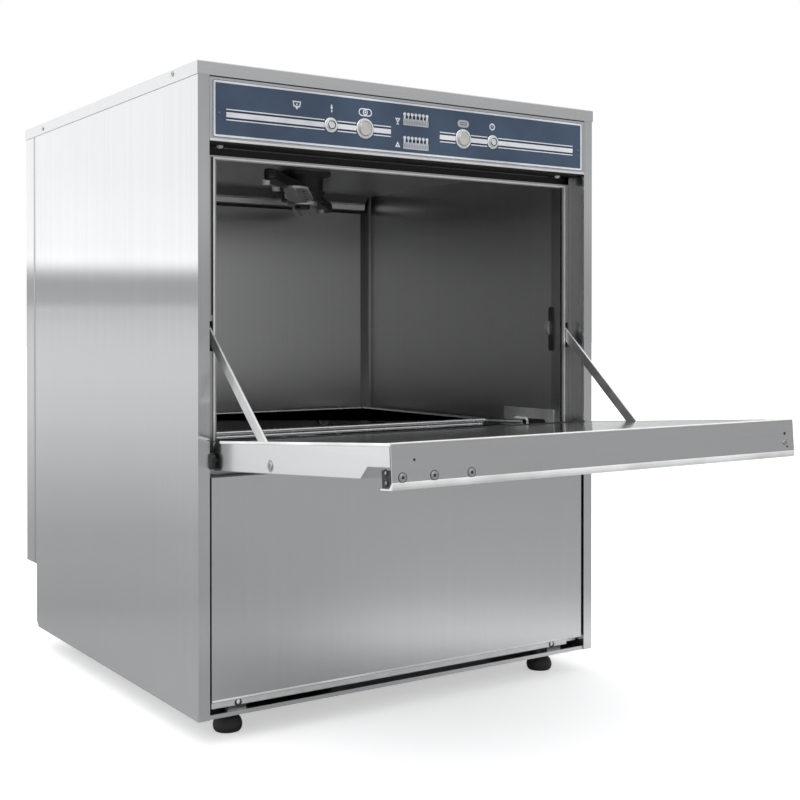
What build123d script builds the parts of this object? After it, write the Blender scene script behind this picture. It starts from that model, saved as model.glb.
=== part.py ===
from build123d import *
import os
from math import cos, sin, radians

# Undercounter commercial dishwasher, all sizes in millimetres.
# X runs across the front, Y from front to back, Z up from the floor.
# Parts are drawn with y = 0 at the face of the front posts, then moved by Y_SHIFT
# so that the whole machine is centred on the origin with its door open.

# ---- cabinet
CAB_W = 600.0
CAB_TOP = 780.0
FOOT_H = 30.0
SHEET = 1.2
SIDE_OUT = CAB_W / 2 - 1.0
SIDE_IN = SIDE_OUT - SHEET
SIDE_D = 567.5
REAR_D = 614.0
REAR_BOTTOM = 123.0
CAP_SKIRT = 16.0
CAP_BOTTOM = CAB_TOP - CAP_SKIRT
POST_W = 15.4
POST_IN = CAB_W / 2 - POST_W
POST_D = 21.0

# ---- control fascia
FASCIA_Z0, FASCIA_Z1 = 690.0, 763.8
OVERLAY_INSET = 4.4
OVERLAY_T = 0.4
BUTTON_Z = 721.6
SMALL_BUTTON_X = (-124.2, 123.3)
BIG_BUTTON_X = (-75.8, 74.8)
SMALL_BUTTON_R = 5.9
BIG_BUTTON_R = 9.4
BUTTON_PROUD = 3.2
BUTTON_TRAVEL = 2.0
BEZEL_W = 3.1

# ---- door, hinged along X and standing open by a few degrees above level
HINGE_Y, HINGE_Z = 0.0, 325.2
DOOR_TILT = 3.9
DOOR_L = 363.0
DOOR_HALF = 277.4
DOOR_OUT, DOOR_IN = -11.0, 22.2
SKIRT_U1 = 309.0
NOTCH_U = 322.0
NOTCH_V = 0.5
LIP_V = -20.0
HANDLE_BACK_U = 343.0
GRIP_D = 21.5
RIVET_XV = ((-266.0, -9.0), (-230.5, -9.0), (-187.3, -9.0), (262.0, -4.0))
PIN_R = 3.0
HINGE_END = -5.2
RUN = 0.05

# ---- door straps
STRAP_U, STRAP_V = 132.3, -2.6
STRAP_ANGLE = 41.2
STRAP_X0, STRAP_X1 = 271.2, 273.8
STRAP_W = 13.0
STRAP_TAIL = 224.0
STRAP_PIN_R = 3.0
GUIDE_Z0, GUIDE_Z1 = 450.0, 485.0

# ---- wash chamber
TUB_HALF = 265.0
TUB_Y0, TUB_Y1 = 26.0, 530.0
TUB_Z0, TUB_Z1 = 292.0, 702.0
MOUTH_TOP = 675.0
LIP_Y = 23.6
FRAME_Y = 24.8
RECESS_Y = 38.0
RECESS_Z = 676.0
LEDGE_Z = 340.0
TANK_X = 200.0
TANK_Y0, TANK_Y1 = 130.0, 420.0
TANK_Z0 = 205.0
ARM_Y = 288.0
WASH_TURN, RINSE_TURN = 50.0, 58.0
ARM_REACH = 234.0
ARM_JETS = ((-213.0, 8.2), (-139.0, 10.5), (-40.0, 13.0), (89.0, 3.0), (189.0, 5.0))

# ---- feet and fittings
FOOT_X = 241.0
FOOT_Y = (44.0, 520.0)
STEM_R = 5.0
LOWER_PANEL_Z0, LOWER_PANEL_Z1 = 48.0, 306.0
PANEL_SCREW_X = (-243.0, 243.0)
PANEL_SCREW_Z = 44.0
CAP_SCREW_YZ = ((67.0, 774.7), (532.0, 771.5))
FASCIA_SCREW_X, FASCIA_SCREW_Y = 258.7, 26.8
INLET_X, INLET_Z = -150.0, 80.0
DRAIN_X, DRAIN_Z = 60.0, 72.0
GLAND_X, GLAND_Z = 200.0, 80.0
PLUMB_Y = 565.0

# Half the run from the front of the open door to the back of the cap.
Y_SHIFT = -125.1


def block(x0, x1, y0, y1, z0, z1):
    """Axis-aligned box between two corners."""
    centre = Pos((x0 + x1) / 2, (y0 + y1) / 2, (z0 + z1) / 2)
    return centre * Box(abs(x1 - x0), abs(y1 - y0), abs(z1 - z0))


def both(x0, x1, y0, y1, z0, z1):
    """The same box on the left and the right."""
    return block(x0, x1, y0, y1, z0, z1) + block(-x1, -x0, y0, y1, z0, z1)


def rod(start, end, radius):
    """Round bar between two points."""
    start, end = Vector(*start), Vector(*end)
    run = end - start
    plane = Plane(origin=start, z_dir=run)
    return extrude(plane * Circle(radius), run.length)


def tube(start, end, outer, inner):
    return rod(start, end, outer) - rod(start, end, inner)


def prism_x(points, x0, x1):
    """Outline in Y and Z pushed along X."""
    face = make_face(Polyline(*points, close=True))
    return extrude(Plane.YZ.offset(x0) * face, x1 - x0)


def prism_z(points, z0, z1):
    """Outline in X and Y pushed along Z."""
    face = make_face(Polyline(*points, close=True))
    return extrude(Plane.XY.offset(z0) * face, z1 - z0)


def pipe(points, outer, inner, bend):
    """Bent pipe along straight runs joined by equal bends."""
    path = FilletPolyline(*points, radius=bend)
    plane = Plane(origin=path @ 0, z_dir=path % 0)
    wall = sweep(plane * Circle(outer), path=path)
    if inner:
        wall -= sweep(plane * Circle(inner), path=path)
    return wall


def mirrored(shape):
    """The part and its mirror image across the middle of the machine."""
    return shape + mirror(shape, Plane.YZ)


def mirror_x(shape):
    return mirror(shape, Plane.YZ)


# ---------------------------------------------------------------- cabinet

def base_pan():
    pan = block(-296, 296, 2, 565, FOOT_H, FOOT_H + 1.5)
    pan += block(-296, 296, 2, 3.2, FOOT_H, FOOT_H + 5)
    pan += both(294.8, 296, 22, 565, FOOT_H, FOOT_H + 40)
    pan += block(-296, 296, 563.8, 565, FOOT_H, FOOT_H + 22)
    pan -= both(POST_IN - 0.3, 299, 0, POST_D + 0.3, FOOT_H - 1, FOOT_H + 6)
    for x in PANEL_SCREW_X:
        pan += block(x - 12, x + 12, 15.2, 16.7, FOOT_H + 1.5, 58)
        pan -= rod((x, 14, PANEL_SCREW_Z), (x, 18, PANEL_SCREW_Z), 2.1)
    for x in (-FOOT_X, FOOT_X):
        for y in FOOT_Y:
            pan += rod((x, y, FOOT_H), (x, y, FOOT_H + 15), 10)
            pan -= rod((x, y, FOOT_H - 1), (x, y, FOOT_H + 16), STEM_R + RUN)
    return pan


def foot(x, y):
    pad = rod((x, y, 0), (x, y, 10), 18.5)
    pad = fillet(pad.edges().group_by(Axis.Z)[-1], 3)
    cone = Pos(x, y, 12) * Cone(13, 9, 4)
    nut = extrude(Plane.XY.offset(14) * Pos(x, y) * RegularPolygon(8.5, 6), 8)
    stem = rod((x, y, 22), (x, y, 95), STEM_R)
    return pad + cone + nut + stem


def side_panel():
    """Right-hand side, with the front post folded from the same sheet."""
    side = block(SIDE_IN, SIDE_OUT, 0, SIDE_D, FOOT_H, CAB_TOP - SHEET)
    corner = [(SIDE_D - 9, FOOT_H - 1), (SIDE_D + 1, FOOT_H - 1), (SIDE_D + 1, FOOT_H + 9)]
    side -= prism_x(corner, SIDE_IN - 1, SIDE_OUT + 1)
    side += block(POST_IN, SIDE_OUT, 0, SHEET, FOOT_H, CAB_TOP - SHEET)
    side += block(POST_IN, POST_IN + SHEET, 0, POST_D, FOOT_H, CAB_TOP - SHEET)
    side += block(282, SIDE_IN, SIDE_D - SHEET, SIDE_D, FOOT_H + 9, CAB_TOP - SHEET)
    for y, z in CAP_SCREW_YZ:
        side -= rod((SIDE_IN - 1, y, z), (SIDE_OUT + 1, y, z), 1.7)
    return side


def top_panel():
    cap = block(-300, 300, -1, REAR_D, CAP_BOTTOM, CAB_TOP)
    rim = cap.edges().group_by(Axis.Z)[-1]
    cap = fillet(rim, 1.6)
    cap -= block(-299, 299, 0, REAR_D - 1, CAP_BOTTOM - 1, CAB_TOP - SHEET)
    for y, z in CAP_SCREW_YZ:
        cap -= rod((-302, y, z), (302, y, z), 1.7)
    return cap


def rear_cover():
    z0, z1 = REAR_BOTTOM, CAB_TOP - SHEET
    y_in = REAR_D - 1 - SHEET
    cover = block(-SIDE_OUT, SIDE_OUT, y_in, REAR_D - 1, z0, z1)
    cover += both(SIDE_IN, SIDE_OUT, SIDE_D, REAR_D - 1, z0, z1)
    cover += block(-SIDE_IN, SIDE_IN, SIDE_D, y_in, z0, z0 + SHEET)
    cover += block(-281.8, 281.8, PLUMB_Y + SHEET, SIDE_D, z0, z0 + SHEET)
    for x in (-150, 0, 150):
        for row in range(7):
            z = 560 + row * 16
            cover -= block(x - 35, x + 35, REAR_D - 5, REAR_D + 1, z, z + 5)
    return cover


def rear_lower_panel():
    y0, y1 = PLUMB_Y, PLUMB_Y + SHEET
    panel = block(-281.8, 281.8, y0, y1, 52, REAR_BOTTOM + SHEET)
    panel -= rod((INLET_X, y0 - 1, INLET_Z), (INLET_X, y1 + 1, INLET_Z), 14.5)
    panel -= rod((DRAIN_X, y0 - 1, DRAIN_Z), (DRAIN_X, y1 + 1, DRAIN_Z), 16.5)
    panel -= rod((GLAND_X, y0 - 1, GLAND_Z), (GLAND_X, y1 + 1, GLAND_Z), 8)
    return panel


def lower_front_panel():
    half = 281.5
    z0, z1 = LOWER_PANEL_Z0, LOWER_PANEL_Z1
    panel = block(-half, half, 2, 3.2, z0, z1)
    panel += both(half - SHEET, half, 2, 18, z0, z1)
    panel += block(-half, half, 2, 18, z1 - SHEET, z1)
    panel += block(-half, half, 2, 15.2, z0, z0 + SHEET)
    panel += block(-half, half, 14, 15.2, 41, z0 + SHEET)
    for x in PANEL_SCREW_X:
        panel -= rod((x, 10, PANEL_SCREW_Z), (x, 18, PANEL_SCREW_Z), 2.1)
    return panel


def pan_head(x, y, z, direction, radius=3.6, height=1.6, slot=0.9):
    """Low domed screw head standing on a face, with its shank behind."""
    head = Cylinder(radius, height, align=(Align.CENTER, Align.CENTER, Align.MIN))
    head = fillet(head.edges().group_by(Axis.Z)[-1], height * 0.45)
    head -= block(-radius * 0.55, radius * 0.55, -slot / 2, slot / 2, height * 0.5, height + 1)
    head -= block(-slot / 2, slot / 2, -radius * 0.55, radius * 0.55, height * 0.5, height + 1)
    head += Pos(0, 0, -1.5) * Cylinder(radius * 0.5, 3)
    return Plane(origin=(x, y, z), z_dir=direction) * head


def lower_panel_screws():
    return Part() + [pan_head(x, 14, PANEL_SCREW_Z, (0, -1, 0), 3.7, 1.8) for x in PANEL_SCREW_X]


def cap_screws():
    screws = [pan_head(300, y, z, (1, 0, 0), 3.2, 0.8, 0.7) for y, z in CAP_SCREW_YZ]
    return mirrored(Part() + screws)


# ---------------------------------------------------------------- controls

def control_fascia():
    z0, z1 = FASCIA_Z0, FASCIA_Z1
    half = POST_IN - 0.3
    panel = block(-half, half, 0.2, 1.4, z0, z1)
    panel += block(-half, half, 0.2, RECESS_Y - 0.2, z0, z0 + SHEET)
    panel += block(-half, half, 0.2, 12, z1 - SHEET, z1)
    for x in SMALL_BUTTON_X:
        panel -= rod((x, -2, BUTTON_Z), (x, 3, BUTTON_Z), SMALL_BUTTON_R + RUN)
    for x in BIG_BUTTON_X:
        panel -= rod((x, -2, BUTTON_Z), (x, 3, BUTTON_Z), BIG_BUTTON_R + RUN)
    for x in (-FASCIA_SCREW_X, FASCIA_SCREW_X):
        panel -= rod((x, FASCIA_SCREW_Y, z0 - 1), (x, FASCIA_SCREW_Y, z0 + 3), 2.1)
    return panel


def control_overlay():
    """Printed film on the fascia, with round holes for the push buttons."""
    half = POST_IN - OVERLAY_INSET
    z0, z1 = FASCIA_Z0 + 4.7, FASCIA_Z1 - 4.0
    film = block(-half, half, 0.2 - OVERLAY_T, 0.2, z0, z1)
    film = fillet(film.edges().filter_by(Axis.Y), 2)
    for x in SMALL_BUTTON_X:
        film -= rod((x, -2, BUTTON_Z), (x, 3, BUTTON_Z), SMALL_BUTTON_R + BEZEL_W)
    for x in BIG_BUTTON_X:
        film -= rod((x, -2, BUTTON_Z), (x, 3, BUTTON_Z), BIG_BUTTON_R + BEZEL_W)
    return film


def button(x, radius):
    """Push button: domed cap, stem and the flange that stops it falling out."""
    cap = rod((x, 1.4, BUTTON_Z), (x, -BUTTON_PROUD, BUTTON_Z), radius)
    cap = fillet(cap.edges().group_by(Axis.Y)[0], 0.8)
    flange = rod((x, 1.7, BUTTON_Z), (x, 3.1, BUTTON_Z), radius + 1.5)
    neck = rod((x, 1.4, BUTTON_Z), (x, 1.7, BUTTON_Z), radius)
    return cap + neck + flange + rod((x, 3.1, BUTTON_Z), (x, 6, BUTTON_Z), 2)


def button_bezels():
    rings = []
    for spots, radius in ((SMALL_BUTTON_X, SMALL_BUTTON_R), (BIG_BUTTON_X, BIG_BUTTON_R)):
        for x in spots:
            ring = tube((x, 0.2, BUTTON_Z), (x, -1.6, BUTTON_Z), radius + BEZEL_W, radius + RUN)
            rings.append(chamfer(ring.edges().group_by(Axis.Y)[0], 0.3))
    return Part() + rings


def gauge_windows():
    """Two bar-graph windows, one above the other."""
    y0, y1 = -0.6, 0.2 - OVERLAY_T
    return Part() + [block(-19, 19.5, y0, y1, z0, z0 + 16.4) for z0 in (731.2, 701.6)]


def indicator_lamps():
    lamps = []
    for x in (-272.4, 272.7):
        lens = rod((x, 0.2 - OVERLAY_T, BUTTON_Z + 0.4), (x, -1.4, BUTTON_Z + 0.4), 1.6)
        lamps.append(fillet(lens.edges().group_by(Axis.Y)[0], 0.9))
    return Part() + lamps


def fascia_screws():
    spots = (-FASCIA_SCREW_X, FASCIA_SCREW_X)
    return Part() + [pan_head(x, FASCIA_SCREW_Y, FASCIA_Z0, (0, 0, -1), 3.8, 2.2) for x in spots]


def control_board():
    """Circuit board with one microswitch behind each button."""
    board = block(-150, 150, 11, 12.6, 698, 752)
    for x in SMALL_BUTTON_X + BIG_BUTTON_X:
        board += block(x - 6, x + 6, 8.2, 11, BUTTON_Z - 6, BUTTON_Z + 6)
    for x in (-140, -30, 30, 140):
        for z in (703, 747):
            board += rod((x, 12.6, z), (x, 17, z), 3)
    return board


# ---------------------------------------------------------------- tub

def tub_side():
    """Right-hand wall of the wash chamber."""
    wall = block(TUB_HALF, TUB_HALF + SHEET, TUB_Y0, TUB_Y1 + SHEET, TUB_Z0 - SHEET, TUB_Z1)
    return wall - block(260, 270, TUB_Y0 - 1, RECESS_Y + SHEET, RECESS_Z, TUB_Z1 + 1)


def tub_back():
    return block(-TUB_HALF, TUB_HALF, TUB_Y1, TUB_Y1 + SHEET, TUB_Z0 - SHEET, TUB_Z1)


def tub_ceiling():
    half = TUB_HALF + SHEET
    roof = block(-half, half, RECESS_Y, TUB_Y1 + SHEET, TUB_Z1, TUB_Z1 + SHEET)
    roof -= rod((0, ARM_Y, TUB_Z1 - 1), (0, ARM_Y, TUB_Z1 + 3), 14)
    return roof


def tub_corner_strips():
    """Rounded cover strips in the two back corners and under the back edge of the roof."""
    size = 13.0
    x, y, z = TUB_HALF, TUB_Y1, TUB_Z1
    upright = prism_z([(x, y), (x - size, y), (x, y - size)], TUB_Z0, z)
    across = prism_x([(y, z), (y - 26, z), (y, z - 27)], -x + size, x - size)
    return mirrored(upright) + across


def tub_floor():
    floor = block(-TUB_HALF, TUB_HALF, TUB_Y0, TUB_Y1, TUB_Z0 - SHEET, TUB_Z0)
    floor -= block(-TANK_X, TANK_X, TANK_Y0, TANK_Y1, TUB_Z0 - 5, TUB_Z0 + 5)
    return floor


def tub_front_frame():
    """Front of the tub: a flat ring, a folded lip round the mouth and the recess above it."""
    outer, inner = 283.0, TUB_HALF
    ring = block(-outer, outer, FRAME_Y, TUB_Y0, 284, RECESS_Z)
    ring -= block(-inner, inner, FRAME_Y - 1, TUB_Y0 + 1, 325, MOUTH_TOP - 3)
    lip = block(-268.8, 268.8, LIP_Y, FRAME_Y, 323, MOUTH_TOP)
    lip -= block(-266.8, 266.8, LIP_Y - 1, FRAME_Y + 1, 325, MOUTH_TOP - 2)
    ring += lip
    ring += both(TUB_HALF - SHEET, TUB_HALF, TUB_Y0, 45, 325, MOUTH_TOP - 3)
    ring += block(-outer, outer, FRAME_Y, RECESS_Y + SHEET, RECESS_Z, RECESS_Z + SHEET)
    ring += block(-outer, outer, RECESS_Y, RECESS_Y + SHEET, RECESS_Z, TUB_Z1)
    ring -= both(269.1, 276.5, FRAME_Y - 2, TUB_Y0 + 2, GUIDE_Z0, GUIDE_Z1)
    return ring


def tub_ledge():
    """Folded bead round the chamber where the walls meet the wash tank flange."""
    z0, z1 = LEDGE_Z - 4, LEDGE_Z
    strips = both(TUB_HALF - 7, TUB_HALF, 150, TUB_Y1, z0, z1)
    return strips + block(-TUB_HALF + 7, TUB_HALF - 7, TUB_Y1 - 7, TUB_Y1, z0, z1)


def mouth_seal():
    """Rubber strip in the recess above the mouth and down its outer edges."""
    bar = block(-280, 280, RECESS_Y - 4, RECESS_Y, RECESS_Z + 2, FASCIA_Z0 - 3)
    return bar + both(269.3, 271, FRAME_Y - 1.2, FRAME_Y, 492, MOUTH_TOP)


def rack_rods():
    """Bent-wire rack support hooked into the side brackets, with a double front rod."""
    x, z, x_hook = 236.0, LEDGE_Z + 2, TUB_HALF - 2.9
    points = [(x_hook, 104, z), (x, 150, z), (x, 500, z), (-x, 500, z), (-x, 150, z), (-x_hook, 104, z)]
    loop = pipe(points, 3, None, 6)
    loop += rod((-x, 160, z), (x, 160, z), 2.9)
    loop += rod((-x + 6, 160, z - 5.6), (x - 6, 160, z - 5.6), 2.2)
    for tie in (-225, -75, 75, 225):
        loop += rod((tie, 160, z - 5.6), (tie, 160, z), 1.8)
    return loop


def rack_brackets():
    """Slotted plates on the chamber walls that carry the front of the rack support."""
    face = TUB_HALF - 2.5
    back = TUB_HALF - SHEET - RUN
    plate = block(face, back, 38.8, 149, 334, 362)
    slot = block(face - 1, back + 1, 59, 118, 336.8, 347.4)
    slot += rod((face - 1, 59, 342.1), (back + 1, 59, 342.1), 5.3)
    slot += rod((face - 1, 118, 342.1), (back + 1, 118, 342.1), 5.3)
    pads = block(back - RUN, TUB_HALF, 45.2, 60, 351, 360) + block(back - RUN, TUB_HALF, 130, 147, 336, 360)
    return mirrored(plate - slot + pads)


def wall_covers():
    """Black cover plates on the chamber walls, just inside the mouth."""
    plate = block(262.0, TUB_HALF - SHEET - RUN, 38.5, 49, 445, 507)
    plate = fillet(plate.edges().filter_by(Axis.X), 4)
    spacer = block(TUB_HALF - SHEET - 2 * RUN, TUB_HALF, 45.2, 48.4, 450, 502)
    return mirrored(plate + spacer)


def sump_tank():
    """Wash tank hanging under the chamber floor."""
    x, y0, y1, z0 = TANK_X, TANK_Y0, TANK_Y1, TANK_Z0
    top = TUB_Z0 - SHEET
    tank = block(-x - SHEET, x + SHEET, y0 - SHEET, y1 + SHEET, z0, top)
    tank -= block(-x, x, y0, y1, z0 + SHEET, top + 1)
    tank -= rod((-20, 230, z0 - 1), (-20, 230, z0 + 3), 17)
    tank -= rod((0, ARM_Y, z0 - 1), (0, ARM_Y, z0 + 3), 14)
    tank -= rod((-120, 360, z0 - 1), (-120, 360, z0 + 3), 14)
    tank -= rod((TANK_X - 5, 350, 240), (TANK_X + 5, 350, 240), 12)
    return tank


def filter_plate():
    """Right-hand perforated filter over the wash tank."""
    plate = block(48, 214, 118, 432, TUB_Z0, TUB_Z0 + 1)
    holes = GridLocations(16, 16, 9, 18)
    drills = [Pos(131, ARM_Y, TUB_Z0) * loc * Cylinder(3.2, 6) for loc in holes]
    return plate - drills


def filter_bridge():
    """Plain strip between the filters that the lower arms stand on."""
    strip = block(-47.7, 47.7, 118, 432, TUB_Z0, TUB_Z0 + 1)
    return strip - rod((0, ARM_Y, TUB_Z0 - 2), (0, ARM_Y, TUB_Z0 + 3), 14)


def standpipe():
    pipe_body = tube((-120, 360, 196), (-120, 360, 284), 13.8, 11.5)
    return pipe_body + rod((-120, 360, 284), (-120, 360, 288), 17)


def tank_heater():
    """Looped heating element with its screwed head through the tank wall."""
    points = [(198, 338, 240), (60, 338, 240), (60, 362, 240), (198, 362, 240)]
    loop = pipe(points, 4, None, 11.9)
    head = rod((197.5, 350, 240), (200, 350, 240), 17)
    return loop + head + rod((200, 350, 240), (216, 350, 240), 11.9)


def level_sensor():
    """Round sensing boss low on the back wall with its two fixing pins."""
    y = TUB_Y1
    boss = rod((176, y, 324), (176, y - 6, 324), 11)
    pins = [rod((x, y, 313.5), (x, y - 4, 313.5), 1.8) for x in (187, 197)]
    return Part() + boss + pins


# ---------------------------------------------------------------- wash and rinse arms

def upper_hub():
    """Black moulded bracket that carries both upper arms from the roof."""
    flange = block(-34, 34, ARM_Y - 30, ARM_Y + 30, TUB_Z1 - 6, TUB_Z1)
    flange = fillet(flange.edges().filter_by(Axis.Z), 10)
    neck = rod((0, ARM_Y, 680), (0, ARM_Y, TUB_Z1 - 6), 30)
    tail = rod((0, ARM_Y, TUB_Z1), (0, ARM_Y, TUB_Z1 + 16), 13.8)
    pin = rod((0, ARM_Y, 654.3), (0, ARM_Y, 680), 6)
    stop = rod((0, ARM_Y, 649.5), (0, ARM_Y, 654.3), 11)
    return flange + neck + tail + pin + stop


def turned(shape, angle):
    """Part drawn along X, turned about the upright axis of the arms."""
    return Pos(0, ARM_Y, 0) * Rot(0, 0, angle) * shape


def spray_bar(z0, z1, side):
    """Moulded wash arm: tapered bars with round tips and nozzles on the spraying face."""
    half = [(24, -14), (ARM_REACH - 7, -7), (ARM_REACH - 7, 7), (24, 14)]
    bar = prism_z(half, z0, z1) + rod((ARM_REACH - 7, 0, z0), (ARM_REACH - 7, 0, z1), 7)
    bar += Rot(0, 0, 180) * bar
    base, tip = (z0 + 3, z0 - 5) if side < 0 else (z1 - 3, z1 + 5)
    for x, y in ARM_JETS:
        bar += rod((x, y, base), (x, y, tip), 3.6)
    return bar


def leaf_arm(z0, z1):
    """Sheet rinse arm with a leaf-shaped blade on each side."""
    edge = [(20, -8), (44, -9), (70, -17.5), (ARM_REACH - 26, -15), (ARM_REACH - 12, -4)]
    outline = edge + [(x, -y) for x, y in reversed(edge)]
    blade = fillet(prism_z(outline, z0, z1).edges().filter_by(Axis.Z).sort_by(Axis.X)[2:], 3.5)
    return blade + Rot(0, 0, 180) * blade


def arm_boss(z0, z1, radius):
    """Round middle of an arm, bored for the pin."""
    bore = rod((0, 0, z0 - 1), (0, 0, z1 + 1), 6 + RUN)
    return rod((0, 0, z0), (0, 0, z1), radius) - bore


def upper_wash_arm():
    bore = rod((0, 0, 650), (0, 0, 690), 29)
    return turned(spray_bar(666, 679, -1) - bore + arm_boss(660.2, 679.7, 30), WASH_TURN)


def upper_rinse_arm():
    bore = rod((0, 0, 650), (0, 0, 690), 21)
    return turned(leaf_arm(656, 658.5) - bore + arm_boss(654.5, 659.9, 22), RINSE_TURN)


def lower_wash_arm():
    bore = rod((0, 0, 290), (0, 0, 330), 26)
    return turned(spray_bar(301, 313, 1) - bore + arm_boss(300.2, 314, 27), 20)


def lower_rinse_arm():
    bore = rod((0, 0, 290), (0, 0, 330), 21)
    return turned(leaf_arm(319.5, 322) - bore + arm_boss(318.5, 325.5, 22), -40)


def lower_hub():
    neck = rod((0, ARM_Y, TUB_Z0 + 1), (0, ARM_Y, 300), 22)
    tail = rod((0, ARM_Y, 204), (0, ARM_Y, TUB_Z0 + 1), 13.8)
    pin = rod((0, ARM_Y, 300), (0, ARM_Y, 326), 6)
    return neck + tail + pin + rod((0, ARM_Y, 326), (0, ARM_Y, 328), 10)


# ---------------------------------------------------------------- machine room

def wash_pump():
    """Volute with side inlet and upright outlet."""
    x0, x1, y, z = 40, 84, 230, 112
    body = rod((x0, y, z), (x1, y, z), 56)
    body += rod((62, y + 40, z), (62, y + 40, 176), 14)
    body += rod((24, y, z), (x0, y, z), 18)
    body -= rod((x0 + 4, y, z), (x1 - 4, y, z), 50)
    body -= rod((23, y, z), (x0 + 5, y, z), 14)
    body -= rod((62, y + 40, z + 20), (62, y + 40, 177), 10)
    return body - rod((x1 - 5, y, z), (x1 + 1, y, z), 8 + RUN)


def pump_impeller():
    """Open impeller with six straight vanes on the motor shaft."""
    y, z = 230, 112
    disc = rod((74, y, z), (78, y, z), 45)
    vane = block(52, 74, 10, 44, -1.5, 1.5)
    vanes = [Pos(0, y, z) * Rot(turn, 0, 0) * vane for turn in range(0, 360, 60)]
    return disc + vanes + rod((52, y, z), (250, y, z), 8)


def wash_motor():
    y, z = 230, 112
    body = rod((86, y, z), (246, y, z), 58)
    body = fillet(body.edges().filter_by(GeomType.CIRCLE), 6)
    body -= rod((85, y, z), (247, y, z), 8 + RUN)
    body += block(110, 220, y - 40, y + 40, FOOT_H + 1.5, 62)
    return body + block(120, 200, y - 30, y + 30, z + 50, z + 76)


def suction_hose():
    points = [(-20, 230, 207), (-20, 230, 112), (24, 230, 112)]
    return pipe(points, 16.8, 13.5, 30)


def delivery_pipe():
    elbow = rod((62, 270, 176.2), (62, 270, 192), 15)
    cross = rod((62, 270, 191), (0, ARM_Y, 191), 10)
    return elbow + cross + rod((0, ARM_Y, 180), (0, ARM_Y, 203.8), 15.5)


def riser_pipe():
    """Wash water pipe up the back of the tub and forward over its roof."""
    z = 731
    run = pipe([(0, 282, 192), (0, 550, 192), (0, 550, z), (0, 290, z)], 9, 7, 28)
    return run + rod((0, 290, z), (0, ARM_Y, z), 9) + rod((0, ARM_Y, 718.2), (0, ARM_Y, z), 9)


def boiler():
    """Rinse water boiler lying along the left side."""
    x, z = -210, 118
    tank = rod((x, 110, z), (x, 430, z), 70)
    tank = fillet(tank.edges().filter_by(GeomType.CIRCLE), 14)
    tank += rod((x - 20, 300, z + 50), (x - 20, 300, z + 82), 8)
    tank -= rod((x, 112, z), (x, 428, z), 68)
    tank -= rod((x - 20, 300, z + 40), (x - 20, 300, z + 83), 5)
    saddle = block(x - 50, x + 50, 150, 170, FOOT_H + 1.5, 66)
    saddle += block(x - 50, x + 50, 370, 390, FOOT_H + 1.5, 66)
    return tank + saddle


def boiler_heater():
    x, z = -210, 118
    flange = rod((x, 98, z), (x, 110, z), 32)
    return flange + rod((x - 12, 84, z), (x - 12, 98, z), 5) + rod((x + 12, 84, z), (x + 12, 98, z), 5)


def rinse_pipe():
    x, y, z = -230, 556, 712
    points = [(x, 300, 200.2), (x, 300, 225), (x, y, 225), (x, y, z), (x, ARM_Y, z), (-14, ARM_Y, z)]
    return pipe(points, 5, 3.5, 11)


def inlet_valve():
    """Solenoid valve with a threaded hose tail through the rear panel."""
    x, z = INLET_X, INLET_Z
    body = block(x - 18, x + 18, 510, 560, z - 18, z + 18)
    body += block(x - 14, x + 14, 516, 548, z + 18, z + 52)
    body += rod((x, 560, z), (x, 590, z), 13.2)
    body -= rod((x, 562, z), (x, 591, z), 9)
    return body + rod((x - 18, 530, z), (x - 40, 530, z), 6)


def valve_hose():
    points = [(INLET_X - 40, 530, INLET_Z), (-210, 530, INLET_Z), (-210, 480, 118), (-210, 430.5, 118)]
    return pipe(points, 6, 4, 8)


def drain_fitting():
    x, z = DRAIN_X, DRAIN_Z
    points = [(-120, 360, 205), (-120, 360, z), (-120, 480, z), (x, 480, z), (x, 596, z)]
    return pipe(points, 15, 12, 24)


def cable_gland():
    """Strain relief for the supply lead, which is not fitted."""
    x, z = GLAND_X, GLAND_Z
    nut = extrude(Plane.XZ.offset(-PLUMB_Y - 16) * Pos(x, z) * RegularPolygon(14, 6), 14)
    body = rod((x, 552, z), (x, 570, z), 7.9) + nut
    return body - rod((x, 540, z), (x, 600, z), 4.6)


def electrical_plate():
    """Mounting plate with contactors and a terminal strip, behind the lower panel."""
    plate = block(-100, 150, 40, 41.5, FOOT_H + 1.5, 190)
    gear = [block(x, x + 42, 41.5, 85, 110, 180) for x in (-85, -38)]
    return plate + gear + block(20, 130, 41.5, 66, 120, 150) + block(-85, 130, 41.5, 60, 60, 76)


def chemical_doser(x):
    """Peristaltic dosing pump with its round head."""
    body = block(x - 22, x + 22, 70, 92, 60, 112)
    return body + rod((x, 70, 86), (x, 52, 86), 18) + block(x - 22, x + 22, 70, 92, FOOT_H + 1.5, 60)


def support_rail():
    """Right-hand angle between the side panel and the tub floor."""
    rail = block(TUB_HALF + SHEET, SIDE_IN, 60, 540, TUB_Z0 - SHEET, TUB_Z0)
    return rail + block(SIDE_IN - SHEET, SIDE_IN, 60, 540, TUB_Z0 - 22, TUB_Z0)


# ---------------------------------------------------------------- door

def placed(shape):
    """Door drawn level along -Y from its hinge, then set at its open angle."""
    return Pos(0, HINGE_Y, HINGE_Z) * Rot(-DOOR_TILT, 0, 0) * shape


def profile(points, x0, x1):
    """Side outline of a door part, given as (distance from hinge, height)."""
    return prism_x([(-u, v) for u, v in points], x0, x1)


def plate_u(u0, u1, v0, v1, x0, x1):
    return block(x0, x1, -u1, -u0, v0, v1)


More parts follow.
